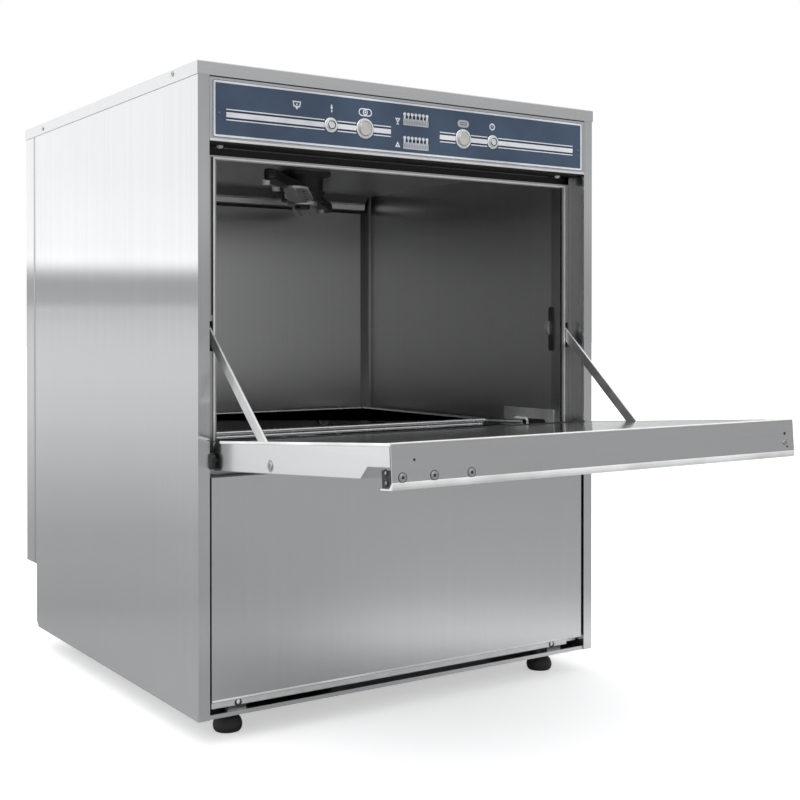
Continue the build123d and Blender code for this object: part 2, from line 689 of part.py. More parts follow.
def door_skin():
    """Outer sheet with its two side skirts, notched behind the handle."""
    half, t = DOOR_HALF, SHEET
    side = [
        (HINGE_END, DOOR_OUT), (SKIRT_U1, DOOR_OUT), (NOTCH_U, NOTCH_V), (361, NOTCH_V),
        (361, DOOR_IN), (3, DOOR_IN), (HINGE_END, 15),
    ]
    skin = profile(side, half - t, half) + profile(side, -half, -half + t)
    skin += plate_u(HINGE_END, SKIRT_U1, DOOR_OUT, DOOR_OUT + t, -half, half)
    slope = [
        (SKIRT_U1, DOOR_OUT), (SKIRT_U1 - 0.6, DOOR_OUT + t), (NOTCH_U - 0.6, NOTCH_V + t),
        (361, NOTCH_V + t), (361, NOTCH_V), (NOTCH_U, NOTCH_V),
    ]
    skin += profile(slope, -half, half)
    skin += plate_u(HINGE_END, HINGE_END + t, DOOR_OUT, 14.5, -half, half)
    for x in (-half, half):
        skin -= rod((x - 3, 0, 0), (x + 3, 0, 0), PIN_R + RUN)
        skin -= rod((x - 3, -STRAP_U, STRAP_V), (x + 3, -STRAP_U, STRAP_V), STRAP_PIN_R + RUN)
    return placed(skin)


def door_liner():
    """Inner pan, stepped in at both sides to leave room for the straps."""
    half, t, u0 = 267.0, SHEET, 3.0
    u1 = DOOR_L - GRIP_D - 0.2
    wide = DOOR_HALF - t
    pan = plate_u(u0, u1, DOOR_IN - t, DOOR_IN, -half, half)
    rim = [
        (HINGE_END + t, 14.5), (HINGE_END + t, 13.2), (u0 + 0.6, DOOR_IN - t),
        (u0 + 0.6, DOOR_IN), (u0, DOOR_IN),
    ]
    pan += profile(rim, -half, half)
    for x in (-half, half - t):
        wall = plate_u(HINGE_END + t + 1.6, SKIRT_U1 - 2, DOOR_OUT + t, DOOR_IN - t / 2, x, x + t)
        pan += wall - plate_u(-9, 5, 12, 30, x - 1, x + t + 1)
    pan += plate_u(SKIRT_U1 + 20, u1, DOOR_IN - t, DOOR_IN, half - 1, wide)
    pan += plate_u(SKIRT_U1 + 20, u1, DOOR_IN - t, DOOR_IN, -wide, -half + 1)
    for x in (-half, half):
        pan -= rod((x - 3, 0, 0), (x + 3, 0, 0), PIN_R + RUN)
    return placed(pan)


def door_handle():
    """Full-width folded grip along the free edge."""
    half, t, length = DOOR_HALF, 1.5, DOOR_L
    outline = [
        (length - t, DOOR_IN), (length - 0.8, DOOR_IN), (length, DOOR_IN - 0.8),
        (length, -14), (length - 5, LIP_V), (HANDLE_BACK_U, LIP_V), (HANDLE_BACK_U, LIP_V + t),
        (length - 5.8, LIP_V + t), (length - t, -13.6),
    ]
    grip = profile(outline, -half, half)
    wide = half - SHEET
    grip += plate_u(length - GRIP_D, length - t / 2, DOOR_IN - t, DOOR_IN, -wide, wide)
    for x, v in RIVET_XV:
        grip -= rod((x, -length - 1, v), (x, -length + 3, v), 1.55)
    return placed(grip)


def handle_end_caps():
    cap = [(345, -2), (360.9, -2), (360.9, -13.9), (356.9, -18.3), (345, -18.3)]
    x0, x1 = DOOR_HALF - 3, DOOR_HALF - 0.6
    return placed(profile(cap, x0, x1) + profile(cap, -x1, -x0))


def door_rivets():
    heads = [pan_head(x, -DOOR_L, v, (0, -1, 0), 3.0, 0.8, 0.5) for x, v in RIVET_XV]
    return placed(Part() + heads)


def door_seal():
    """Rubber strip along the hinge edge of the door."""
    return placed(plate_u(3, 12, DOOR_IN, DOOR_IN + 0.8, -283, 283))


def hinge_pin_parts():
    """Right-hand hinge bracket on the post with its pin into the door side."""
    plate = block(280.4, POST_IN, -6, 19, HINGE_Z - 9, HINGE_Z + 9)
    plate = fillet(plate.edges().filter_by(Axis.X), 5)
    pin = rod((262, HINGE_Y, HINGE_Z), (281, HINGE_Y, HINGE_Z), PIN_R)
    return plate + pin


def strap():
    """Flat stay on the right, turned to its open angle about its lower pin."""
    x0, x1, half = STRAP_X0, STRAP_X1, STRAP_W / 2
    bar = block(x0, x1, 0, STRAP_TAIL, -half, half)
    bar += rod((x0, 0, 0), (x1, 0, 0), half)
    bar += rod((x0, STRAP_TAIL, 0), (x1, STRAP_TAIL, 0), half)
    bar -= rod((x0 - 1, 0, 0), (x1 + 1, 0, 0), STRAP_PIN_R + RUN)
    tilt = radians(DOOR_TILT)
    y = HINGE_Y - STRAP_U * cos(tilt) + STRAP_V * sin(tilt)
    z = HINGE_Z + STRAP_U * sin(tilt) + STRAP_V * cos(tilt)
    return Pos(0, y, z) * Rot(STRAP_ANGLE, 0, 0) * bar


def strap_pins():
    """Shouldered screws through the door skirts that the straps turn on."""
    shaft = rod((268, -STRAP_U, STRAP_V), (DOOR_HALF, -STRAP_U, STRAP_V), STRAP_PIN_R)
    collar = rod((STRAP_X1 + 0.2, -STRAP_U, STRAP_V), (DOOR_HALF - SHEET, -STRAP_U, STRAP_V), 5)
    clip = rod((268.5, -STRAP_U, STRAP_V), (STRAP_X0 - 0.3, -STRAP_U, STRAP_V), 5)
    head = pan_head(DOOR_HALF, -STRAP_U, STRAP_V, (1, 0, 0), 4.6, 1.6, 1.0)
    return placed(mirrored(shaft + collar + clip + head))


def strap_guide():
    """Black slotted guide behind the right-hand front frame."""
    plate = block(268.0, 278.4, TUB_Y0, TUB_Y0 + 5, GUIDE_Z0 - 8, GUIDE_Z1 + 8)
    return plate - block(270.0, 275.0, TUB_Y0 - 1, TUB_Y0 + 6, GUIDE_Z0, GUIDE_Z1)


def door_switch():
    return block(276, 283, TUB_Y0, 50, 640, 662)


# ---------------------------------------------------------------- output

def cabinet_nodes():
    right = side_panel()
    return {
        "base_pan": base_pan(),
        "side_panel_right": right,
        "side_panel_left": mirror_x(right),
        "top_panel": top_panel(),
        "rear_cover": rear_cover(),
        "rear_lower_panel": rear_lower_panel(),
        "lower_front_panel": lower_front_panel(),
        "cabinet_screws": lower_panel_screws() + cap_screws() + fascia_screws(),
        "support_rails": mirrored(support_rail()),
        "hinge_brackets": mirrored(hinge_pin_parts()),
        "black_fittings": mirrored(strap_guide()) + door_switch() + wall_covers(),
    }


def control_nodes():
    return {
        "control_fascia": control_fascia(),
        "control_overlay": control_overlay(),
        "button_bezels": button_bezels(),
        "indicators": gauge_windows() + indicator_lamps(),
        "control_board": control_board(),
        "button_small_left": button(SMALL_BUTTON_X[0], SMALL_BUTTON_R),
        "button_big_left": button(BIG_BUTTON_X[0], BIG_BUTTON_R),
        "button_big_right": button(BIG_BUTTON_X[1], BIG_BUTTON_R),
        "button_small_right": button(SMALL_BUTTON_X[1], SMALL_BUTTON_R),
    }


def tub_nodes():
    wall = tub_side()
    return {
        "tub_side_right": wall,
        "tub_side_left": mirror_x(wall),
        "tub_back": tub_back(),
        "tub_ceiling": tub_ceiling(),
        "tub_floor": tub_floor(),
        "tub_front_frame": tub_front_frame(),
        "tub_trim": tub_corner_strips() + tub_ledge(),
        "mouth_seal": mouth_seal(),
        "rack_rods": rack_rods(),
        "rack_brackets": rack_brackets(),
        "sump_tank": sump_tank(),
        "filter_plates": mirrored(filter_plate()) + filter_bridge(),
        "tank_heater": tank_heater(),
        "level_sensor": level_sensor(),
    }


def wash_nodes():
    return {
        "arm_hubs": upper_hub() + lower_hub(),
        "upper_wash_arm": upper_wash_arm(),
        "upper_rinse_arm": upper_rinse_arm(),
        "lower_wash_arm": lower_wash_arm(),
        "lower_rinse_arm": lower_rinse_arm(),
        "wash_pump": wash_pump(),
        "pump_impeller": pump_impeller(),
        "wash_motor": wash_motor(),
        "pump_pipework": suction_hose() + delivery_pipe() + riser_pipe(),
        "rinse_boiler": boiler() + boiler_heater(),
        "rinse_pipe": rinse_pipe() + valve_hose(),
        "inlet_valve": inlet_valve(),
        "drain_pipe": drain_fitting() + standpipe(),
        "cable_gland": cable_gland(),
        "electrical_plate": electrical_plate() + chemical_doser(195) + chemical_doser(245),
    }


def door_nodes():
    right = strap()
    return {
        "door_skin": door_skin(),
        "door_liner": door_liner(),
        "door_handle": door_handle(),
        "door_mouldings": door_seal() + handle_end_caps(),
        "door_rivets": door_rivets() + strap_pins(),
        "strap_right": right,
        "strap_left": mirror_x(right),
    }


def foot_nodes():
    names = {"front": FOOT_Y[0], "back": FOOT_Y[1]}
    nodes = {}
    for row, y in names.items():
        nodes[f"foot_{row}_left"] = foot(-FOOT_X, y)
        nodes[f"foot_{row}_right"] = foot(FOOT_X, y)
    return nodes


def main():
    os.makedirs("parts", exist_ok=True)
    groups = (cabinet_nodes, control_nodes, tub_nodes, wash_nodes, door_nodes, foot_nodes)
    for group in groups:
        for node, shape in group().items():
            export_step(Pos(0, Y_SHIFT, 0) * shape, f"parts/{node}.step")


main()
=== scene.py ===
import math

import bmesh
import bpy
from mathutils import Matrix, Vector


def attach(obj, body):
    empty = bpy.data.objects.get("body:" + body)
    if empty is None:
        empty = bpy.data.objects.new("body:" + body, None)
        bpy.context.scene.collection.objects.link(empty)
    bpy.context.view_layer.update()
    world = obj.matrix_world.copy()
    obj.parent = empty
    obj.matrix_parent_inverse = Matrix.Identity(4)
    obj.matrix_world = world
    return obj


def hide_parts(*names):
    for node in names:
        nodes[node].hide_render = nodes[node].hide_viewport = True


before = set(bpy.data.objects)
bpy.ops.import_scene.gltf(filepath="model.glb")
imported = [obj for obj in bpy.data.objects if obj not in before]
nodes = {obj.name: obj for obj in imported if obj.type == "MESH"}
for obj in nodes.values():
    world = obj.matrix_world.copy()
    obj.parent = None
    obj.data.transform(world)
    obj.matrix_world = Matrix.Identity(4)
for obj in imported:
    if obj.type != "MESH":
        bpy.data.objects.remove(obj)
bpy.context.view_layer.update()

MM = 0.001
Y_SHIFT = -125.1          # the CAD model's own y = 0, the face of the front posts, in the row frame


def at(x, y, z):
    """Row-frame point in metres of a place in the CAD model's own millimetres."""
    return Vector((x, y + Y_SHIFT, z)) * MM


# ---------------------------------------------------------------- camera, light and stage

def make_camera():
    data = bpy.data.cameras.new("camera")
    data.sensor_width = 36.0
    data.lens = 56.89
    data.shift_x = -0.0038
    data.shift_y = -0.077
    data.clip_start, data.clip_end = 0.05, 60.0
    camera = bpy.data.objects.new("camera", data)
    camera.location = (-0.90979, -1.43616, 0.47619)
    camera.rotation_euler = (math.radians(89.56), 0.0, math.radians(-34.19))
    bpy.context.scene.collection.objects.link(camera)
    bpy.context.scene.camera = camera


class Graph:
    """Small helper for wiring shader nodes."""

    def __init__(self, tree):
        self.tree = tree

    def add(self, kind, **values):
        node = self.tree.nodes.new(kind)
        for key, value in values.items():
            setattr(node, key, value)
        return node

    def link(self, source, target):
        self.tree.links.new(source, target)

    def feed(self, socket, value):
        """Connects a socket, or sets its value where a plain number or colour is given."""
        if isinstance(value, bpy.types.NodeSocket):
            self.link(value, socket)
        else:
            socket.default_value = value

    def math(self, operation, a, b=0.0, c=0.0, clamp=False):
        node = self.add("ShaderNodeMath", operation=operation, use_clamp=clamp)
        for socket, value in zip(node.inputs, (a, b, c)):
            self.feed(socket, value)
        return node.outputs[0]

    def ramp(self, value, low, high, out_low=0.0, out_high=1.0, smooth=True):
        node = self.add("ShaderNodeMapRange", interpolation_type="SMOOTHSTEP" if smooth else "LINEAR")
        for index, item in enumerate((value, low, high, out_low, out_high)):
            self.feed(node.inputs[index], item)
        return node.outputs[0]

    def noise(self, vector, scale, detail=2.0, roughness=0.5):
        node = self.add("ShaderNodeTexNoise")
        node.inputs["Scale"].default_value = scale
        node.inputs["Detail"].default_value = detail
        node.inputs["Roughness"].default_value = roughness
        self.link(vector, node.inputs["Vector"])
        return node.outputs["Fac"]

    def stretched(self, scale, location=(0, 0, 0)):
        """Object coordinates scaled by a different amount along each axis."""
        place = self.add("ShaderNodeTexCoord")
        mapping = self.add("ShaderNodeMapping")
        mapping.inputs["Scale"].default_value = scale
        mapping.inputs["Location"].default_value = location
        self.link(place.outputs["Object"], mapping.inputs["Vector"])
        return mapping.outputs["Vector"]

    def blend(self, factor, low, high):
        node = self.add("ShaderNodeMix", data_type="RGBA")
        self.feed(node.inputs["Factor"], factor)
        self.feed(node.inputs[6], low)
        self.feed(node.inputs[7], high)
        return node.outputs[2]


def profile(g, value, stops):
    """Brightness read off a row of (value, brightness) stops."""
    low, high = stops[0][0], stops[-1][0]
    ramp = g.add("ShaderNodeValToRGB")
    elements = ramp.color_ramp.elements
    while len(elements) < len(stops):
        elements.new(0.5)
    peak = max(stop[1] for stop in stops)
    for element, (where, level) in zip(elements, stops):
        element.position = (where - low) / (high - low)
        element.color = (level / peak,) * 3 + (1.0,)
    g.link(g.ramp(value, low, high, smooth=False), ramp.inputs[0])
    return g.math("MULTIPLY", ramp.outputs[0], peak)


# Brightness of the studio against the sine of the height above the horizon.
BACK_WALL = (
    (-0.020, 0.90), (0.004, 0.84), (0.0125, 0.74), (0.0135, 0.90), (0.0160, 0.88), (0.0175, 0.56),
    (0.0370, 0.50), (0.0430, 0.74), (0.0480, 1.30), (0.0530, 1.62), (0.0600, 1.46), (0.1200, 1.36),
    (0.3000, 1.36), (0.5000, 1.30),
)
FRONT_WALL = (
    (-0.020, 0.45), (0.040, 0.46), (0.070, 0.54), (0.100, 0.62), (0.150, 0.57), (0.200, 0.52),
    (0.300, 0.72), (0.500, 0.98), (0.800, 1.25),
)


def make_world():
    """White backdrop for the camera; a soft studio room for light and reflections."""
    world = bpy.data.worlds.new("studio")
    bpy.context.scene.world = world
    world.use_nodes = True
    g = Graph(world.node_tree)
    world.node_tree.nodes.clear()
    coords = g.add("ShaderNodeTexCoord")
    split = g.add("ShaderNodeSeparateXYZ")
    g.link(coords.outputs["Generated"], split.inputs[0])
    x, y, z = split.outputs

    def toward(direction):
        v = Vector(direction).normalized()
        total = g.math("MULTIPLY", x, v.x)
        total = g.math("MULTIPLY_ADD", y, v.y, total)
        return g.math("MULTIPLY_ADD", z, v.z, total)

    back, front = profile(g, z, BACK_WALL), profile(g, z, FRONT_WALL)
    side = g.ramp(toward((-0.6, 0.8, 0.0)), -0.35, 0.5)
    room = g.math("MULTIPLY_ADD", side, g.math("SUBTRACT", back, front), front)
    key = g.ramp(toward((-0.45, -0.35, 0.82)), 0.86, 0.97, 0.0, 1.5)
    reflected = g.add("ShaderNodeBackground")
    reflected.inputs["Color"].default_value = (0.98, 0.99, 1.0, 1.0)
    g.link(g.math("ADD", room, key), reflected.inputs["Strength"])
    backdrop = g.add("ShaderNodeBackground")
    backdrop.inputs["Color"].default_value = (1.0, 1.0, 1.0, 1.0)
    path = g.add("ShaderNodeLightPath")
    mixed = g.add("ShaderNodeMixShader")
    g.link(path.outputs["Is Camera Ray"], mixed.inputs[0])
    g.link(reflected.outputs[0], mixed.inputs[1])
    g.link(backdrop.outputs[0], mixed.inputs[2])
    out = g.add("ShaderNodeOutputWorld")
    g.link(mixed.outputs[0], out.inputs["Surface"])


# Painted light and shade on the floor, met only by light and reflections, against the distance behind (+) or
# in front (-) of the machine, in metres, on its left and on its right.
FLOOR_LEFT = (
    (-3.0, 0.37), (-2.0, 0.37), (-1.1, 0.35), (-0.72, 0.35), (-0.43, 0.46), (0.0, 0.52), (0.79, 0.40),
    (1.12, 0.43), (1.58, 0.46), (2.24, 0.60), (3.3, 0.65), (5.3, 0.68), (10.5, 0.74),
)
FLOOR_RIGHT = (
    (-3.0, 0.36), (-2.3, 0.36), (-1.25, 0.40), (-0.8, 0.46), (-0.6, 0.66), (-0.45, 0.98), (0.0, 0.60),
    (0.8, 0.36), (1.14, 0.37), (1.6, 0.375), (2.28, 0.43), (3.4, 0.51), (5.4, 0.59), (10.7, 0.64),
)


def floor_painted_light(g):
    """Painted light and shade on the floor, as light and reflections meet it."""
    place = g.add("ShaderNodeTexCoord")
    split = g.add("ShaderNodeSeparateXYZ")
    g.link(place.outputs["Object"], split.inputs[0])
    x, y = split.outputs[0], split.outputs[1]
    along = g.math("MULTIPLY_ADD", y, 0.83, g.math("MULTIPLY", x, -0.56))
    across = g.math("MULTIPLY_ADD", x, 0.83, g.math("MULTIPLY", y, 0.56))
    left, right = profile(g, along, FLOOR_LEFT), profile(g, along, FLOOR_RIGHT)
    shift = g.ramp(across, -0.32, -0.02)
    level = g.math("MULTIPLY_ADD", shift, g.math("SUBTRACT", right, left), left)
    tone = g.add("ShaderNodeCombineColor")
    for socket in tone.inputs[:3]:
        g.link(level, socket)
    painted = g.add("ShaderNodeBsdfDiffuse")
    g.link(tone.outputs[0], painted.inputs["Color"])
    return painted.outputs[0]


def make_floor():
    bpy.ops.mesh.primitive_plane_add(size=60)
    floor = bpy.context.object
    floor.name = "studio_floor"
    material = bpy.data.materials.new("studio_floor")
    material.use_nodes = True
    g = Graph(material.node_tree)
    material.node_tree.nodes.clear()
    pale = g.add("ShaderNodeBsdfDiffuse")
    pale.inputs["Color"].default_value = (0.70, 0.70, 0.70, 1)
    glow = g.add("ShaderNodeEmission")
    glow.inputs["Color"].default_value = (1.0, 1.0, 1.0, 1)
    glow.inputs["Strength"].default_value = 0.48
    seen = g.add("ShaderNodeAddShader")
    g.link(pale.outputs[0], seen.inputs[0])
    g.link(glow.outputs[0], seen.inputs[1])
    path = g.add("ShaderNodeLightPath")
    mixed = g.add("ShaderNodeMixShader")
    g.link(path.outputs["Is Camera Ray"], mixed.inputs[0])
    g.link(floor_painted_light(g), mixed.inputs[1])
    g.link(seen.outputs[0], mixed.inputs[2])
    out = g.add("ShaderNodeOutputMaterial")
    g.link(mixed.outputs[0], out.inputs["Surface"])
    floor.data.materials.append(material)


# ---------------------------------------------------------------- materials

def principled(name, **sockets):
    material = bpy.data.materials.new(name)
    material.use_nodes = True
    shader = material.node_tree.nodes["Principled BSDF"]
    for key, value in sockets.items():
        shader.inputs[key.replace("_", " ")].default_value = value
    return material, Graph(material.node_tree), shader


HAIRLINES, BANDS = 2300.0, 160.0     # fine and broad lines of brushed steel per metre across the grain
HAIR_WAVE, BAND_WAVE = 9.0, 2.0      # and their changes per metre along it


def brushed_steel(
        name, grain, across, colour=(0.62, 0.625, 0.63), rough=0.14, streak=0.012, smudge=0.02, aniso=1.0):
    """Brushed stainless sheet: fine hairlines along the grain, which blur reflections across it."""
    material, g, shader = principled(name, Metallic=1.0, Anisotropic=aniso)
    fine = [HAIRLINES] * 3
    fine["XYZ".index(grain)] = HAIR_WAVE
    broad = [BANDS] * 3
    broad["XYZ".index(grain)] = BAND_WAVE
    hair = g.noise(g.stretched(fine), 1.0, 2.0, 0.6)
    band = g.noise(g.stretched(broad, (3.1, 1.7, 0.4)), 1.0, 2.0, 0.6)
    cloud = g.noise(g.stretched((1, 1, 1)), 4.0, 3.0, 0.55)
    roughness = g.ramp(hair, 0.3, 0.7, rough - streak, rough + streak, smooth=False)
    handled = g.ramp(cloud, 0.35, 0.7, -smudge, smudge)
    g.link(g.math("ADD", roughness, handled, clamp=True), shader.inputs["Roughness"])
    dark = tuple(c * 0.985 for c in colour) + (1.0,)
    light = tuple(min(1.0, c * 1.01) for c in colour) + (1.0,)
    g.link(g.blend(g.ramp(band, 0.3, 0.7), dark, light), shader.inputs["Base Color"])
    surface = g.add("ShaderNodeBump")
    surface.inputs["Strength"].default_value = streak
    surface.inputs["Distance"].default_value = 0.0002
    g.link(hair, surface.inputs["Height"])
    g.link(surface.outputs[0], shader.inputs["Normal"])
    tangent = g.add("ShaderNodeCombineXYZ")
    tangent.inputs["XYZ".index(across)].default_value = 1.0
    g.link(tangent.outputs[0], shader.inputs["Tangent"])
    return material


def satin_metal(name, colour, rough=0.3, spread=0.08, scale=60.0):
    """Turned or drawn metal with soft wear in its finish."""
    material, g, shader = principled(name, Metallic=1.0)
    worn = g.noise(g.stretched((1, 1, 1)), scale, 4.0, 0.6)
    g.link(g.ramp(worn, 0.3, 0.7, rough - spread, rough + spread), shader.inputs["Roughness"])
    dark = tuple(c * 0.85 for c in colour) + (1.0,)
    g.link(g.blend(g.ramp(worn, 0.25, 0.8), dark, colour + (1.0,)), shader.inputs["Base Color"])
    return material


def moulded(name, colour, rough=0.42, grain=0.25, scale=900.0, coat=0.0):
    """Moulded plastic or rubber with a fine spark-eroded grain and slight tone changes."""
    material, g, shader = principled(name, Coat_Weight=coat, Coat_Roughness=0.08)
    speck = g.noise(g.stretched((1, 1, 1)), scale, 2.0, 0.5)
    tone = g.noise(g.stretched((1, 1, 1)), 14.0, 3.0, 0.5)
    dark = tuple(c * 0.8 for c in colour) + (1.0,)
    light = tuple(min(1.0, c * 1.15) for c in colour) + (1.0,)
    g.link(g.blend(g.ramp(tone, 0.3, 0.7), dark, light), shader.inputs["Base Color"])
    g.link(g.ramp(tone, 0.25, 0.75, rough - 0.06, rough + 0.06), shader.inputs["Roughness"])
    surface = g.add("ShaderNodeBump")
    surface.inputs["Strength"].default_value = grain
    surface.inputs["Distance"].default_value = 0.0002
    g.link(speck, surface.inputs["Height"])
    g.link(surface.outputs[0], shader.inputs["Normal"])
    return material


# Settings of every material, by its kind.
BRUSHED = {
    "steel_side": dict(grain="Z", across="Y"),
    "steel_front": dict(grain="Z", across="X", rough=0.22, aniso=0.9),
    "steel_cap": dict(grain="X", across="Y", rough=0.28, aniso=0.5),
    "steel_trim": dict(grain="Z", across="X", rough=0.24, aniso=0.4),
    # Darker steel: painted shade on the jamb strips beside the mouth and in the rear seams.
    "jamb": dict(grain="Z", across="X", colour=(0.42, 0.42, 0.42), rough=0.30, aniso=0.4),
    "steel_tub": dict(
        grain="Z", across="X", colour=(0.44, 0.44, 0.44), rough=0.30, streak=0.004, smudge=0.01, aniso=0.7),
    # Side walls of the tub: the tub steel made lighter, as painted light.
    "steel_tub_side": dict(
        grain="Z", across="Y", colour=(0.64, 0.64, 0.64), rough=0.30, streak=0.004, smudge=0.01, aniso=0.7),
    # Roof of the tub: the tub steel made lighter still, as painted light.
    "steel_roof": dict(
        grain="X", across="Y", colour=(0.70, 0.70, 0.70), rough=0.40, streak=0.004, smudge=0.01, aniso=0.4),
    "steel_door": dict(
        grain="X", across="Z", colour=(0.58, 0.585, 0.59), rough=0.26, streak=0.003, smudge=0.006, aniso=0.5),
    # Door sides: the door steel made much lighter, as a painted highlight.
    "steel_flank": dict(
        grain="Y", across="Z", colour=(0.86, 0.86, 0.86), rough=0.26, streak=0.002, smudge=0.004, aniso=0.5),
    "steel_liner": dict(
        grain="X", across="Y", colour=(0.58, 0.58, 0.58), rough=0.10, streak=0.004, smudge=0.01, aniso=0.3),
}
SATIN = {
    "wire": dict(colour=(0.66, 0.67, 0.68), rough=0.22),
    "screw": dict(colour=(0.50, 0.50, 0.50), rough=0.34, scale=300.0),
    "button": dict(colour=(0.84, 0.82, 0.78), rough=0.42, spread=0.04, scale=200.0),
    "button_bright": dict(colour=(0.97, 0.97, 0.97), rough=0.45, spread=0.04, scale=200.0),
    # Near-white metal: painted highlight on folded edges, lips and rims; also the wall cover catches.
    "edge": dict(colour=(0.98, 0.97, 0.95), rough=0.5, spread=0.05),
    "strap": dict(colour=(0.80, 0.80, 0.80), rough=0.42, spread=0.05),
    "bracket": dict(colour=(0.86, 0.86, 0.86), rough=0.55, spread=0.05),
    "arm": dict(colour=(0.80, 0.80, 0.80), rough=0.40, spread=0.03),
    "cast": dict(colour=(0.55, 0.55, 0.56), rough=0.5, scale=250.0),
}
MOULDED = {
    # Near-white: painted highlight on the liner's side folds, the grip edge and the service panel edge; also
    # the plinth screw heads.
    "hem": dict(colour=(0.92, 0.92, 0.90), rough=0.35, grain=0.0),
    "film": dict(colour=(0.048, 0.080, 0.136), rough=0.40, grain=0.03),
    "print": dict(colour=(0.80, 0.82, 0.88), rough=0.5, grain=0.02),
    "print_grey": dict(colour=(0.50, 0.52, 0.55), rough=0.45, grain=0.02),
    # Dark print; also painted shade at the film's border, between the stripes and in the plinth screw
    # recesses.
    "print_dark": dict(colour=(0.018, 0.024, 0.038), rough=0.45, grain=0.02),
    # Near-black: painted shade in the button grooves, the spray slots, the bracket slots and the joint under
    # the cove.
    "groove": dict(colour=(0.012, 0.012, 0.012), rough=0.5, grain=0.1),
    "nozzle": dict(colour=(0.86, 0.86, 0.84), rough=0.35, grain=0.1),
    "lens": dict(colour=(0.10, 0.14, 0.20), rough=0.2, grain=0.0, coat=0.6),
    "black": dict(colour=(0.018, 0.018, 0.019), rough=0.42),
    "rubber": dict(colour=(0.022, 0.022, 0.022), rough=0.62, grain=0.4),
    "board": dict(colour=(0.02, 0.12, 0.05), rough=0.35),
    "hose": dict(colour=(0.20, 0.20, 0.21), rough=0.5),
    "white": dict(colour=(0.75, 0.75, 0.73), rough=0.4),
    "relay": dict(colour=(0.25, 0.26, 0.28), rough=0.45),
}


def make_materials():
    made = {}
    for build, settings in ((brushed_steel, BRUSHED), (satin_metal, SATIN), (moulded, MOULDED)):
        for name, values in settings.items():
            made[name] = build(name, **values)
    return made


# CAD nodes that take each material.
NODE_LOOKS = {
    "steel_side": ("side_panel_left", "side_panel_right", "rear_cover", "rear_lower_panel"),
    "steel_cap": ("top_panel", "base_pan", "support_rails"),
    "steel_front": ("lower_front_panel", "control_fascia"),
    "steel_roof": ("tub_ceiling",),
    "steel_tub": ("tub_back", "tub_floor", "tub_front_frame", "tub_trim", "sump_tank", "filter_plates"),
    "steel_tub_side": ("tub_side_left", "tub_side_right"),
    "bracket": ("rack_brackets",),
    "steel_door": ("door_skin", "door_handle"),
    "steel_liner": ("door_liner",),
    "steel_trim": ("rinse_boiler",),
    "strap": ("strap_left", "strap_right"),
    "wire": ("rack_rods", "tank_heater", "level_sensor"),
    "screw": ("cabinet_screws", "door_rivets", "pump_impeller"),
    "button": (
        "button_small_left", "button_big_left", "button_big_right", "button_small_right", "button_bezels"),
    "arm": ("upper_rinse_arm", "lower_rinse_arm"),
    "film": ("control_overlay",),
    "lens": ("indicators",),
    "black": (
        "hinge_brackets", "black_fittings", "arm_hubs", "wash_pump", "door_mouldings", "cable_gland",
        "upper_wash_arm", "lower_wash_arm"),
    "rubber": ("mouth_seal",),
    "board": ("control_board",),
    "hose": ("pump_pipework", "rinse_pipe", "drain_pipe"),
    "cast": ("wash_motor",),
    "white": ("inlet_valve",),
    "relay": ("electrical_plate",),
}
# Width of the rounded folds of the sheet-metal parts, in millimetres.
BEVELLED = {
    "side_panel_left": 0.35, "side_panel_right": 0.35, "top_panel": 0.3, "rear_cover": 0.3,
    "rear_lower_panel": 0.3, "lower_front_panel": 0.4, "control_fascia": 0.35, "tub_front_frame": 0.3,
    "door_skin": 0.35, "door_handle": 0.4, "door_liner": 0.3, "strap_left": 0.4, "strap_right": 0.4,
    "tub_trim": 0.8, "rack_brackets": 0.3,
}


def finish_cad_nodes(looks):
    for look, names in NODE_LOOKS.items():
        for name in names:
            data = nodes[name].data
            data.materials.clear()
            data.materials.append(looks[look])
    for name, width in BEVELLED.items():
        round_edges(nodes[name], width)


def round_edges(obj, width):
    """Clean flat faces, small rounded folds and even shading on a sheet-metal part."""
    weld = obj.modifiers.new("weld", "WELD")
    weld.merge_threshold = 0.00001
    flat = obj.modifiers.new("flat", "DECIMATE")
    flat.decimate_type = "DISSOLVE"
    flat.angle_limit = math.radians(0.5)
    bevel = obj.modifiers.new("bevel", "BEVEL")
    bevel.width = width * MM
    bevel.segments = 2
    bevel.limit_method = "ANGLE"
    bevel.angle_limit = math.radians(30)
    even = obj.modifiers.new("even", "WEIGHTED_NORMAL")
    even.keep_sharp = False
    for polygon in obj.data.polygons:
        polygon.use_smooth = True


# ---------------------------------------------------------------- meshes, in the CAD model's millimetres

SEAM = 1e-7                # metres within which the two ends of a closed turned outline are joined


def piece(name, mesh, look, body="cabinet", replaces=(), smooth=False):
    """Turns a bmesh into a finished piece that rides a CAD body. look is one material name or several."""
    bmesh.ops.recalc_face_normals(mesh, faces=mesh.faces)
    data = bpy.data.meshes.new(name)
    mesh.to_mesh(data)
    mesh.free()
    for item in (look,) if isinstance(look, str) else look:
        data.materials.append(looks[item])
    for polygon in data.polygons:
        polygon.use_smooth = smooth
    obj = bpy.data.objects.new(name, data)
    bpy.context.scene.collection.objects.link(obj)
    if smooth:
        split = obj.modifiers.new("split", "EDGE_SPLIT")
        split.split_angle = math.radians(32)
    if replaces:
        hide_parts(*replaces)
    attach(obj, body)


def skin(mesh, loops, closed=False):
    """Faces between rings of points. An open stack is capped at both ends."""
    rings = [[mesh.verts.new(p) for p in loop] for loop in loops]
    pairs = list(zip(rings, rings[1:])) + ([(rings[-1], rings[0])] if closed else [])
    for a, b in pairs:
        for i in range(len(a)):
            j = (i + 1) % len(a)
            mesh.faces.new((a[i], a[j], b[j], b[i]))
    if not closed:
        mesh.faces.new(rings[0])
        mesh.faces.new(rings[-1])


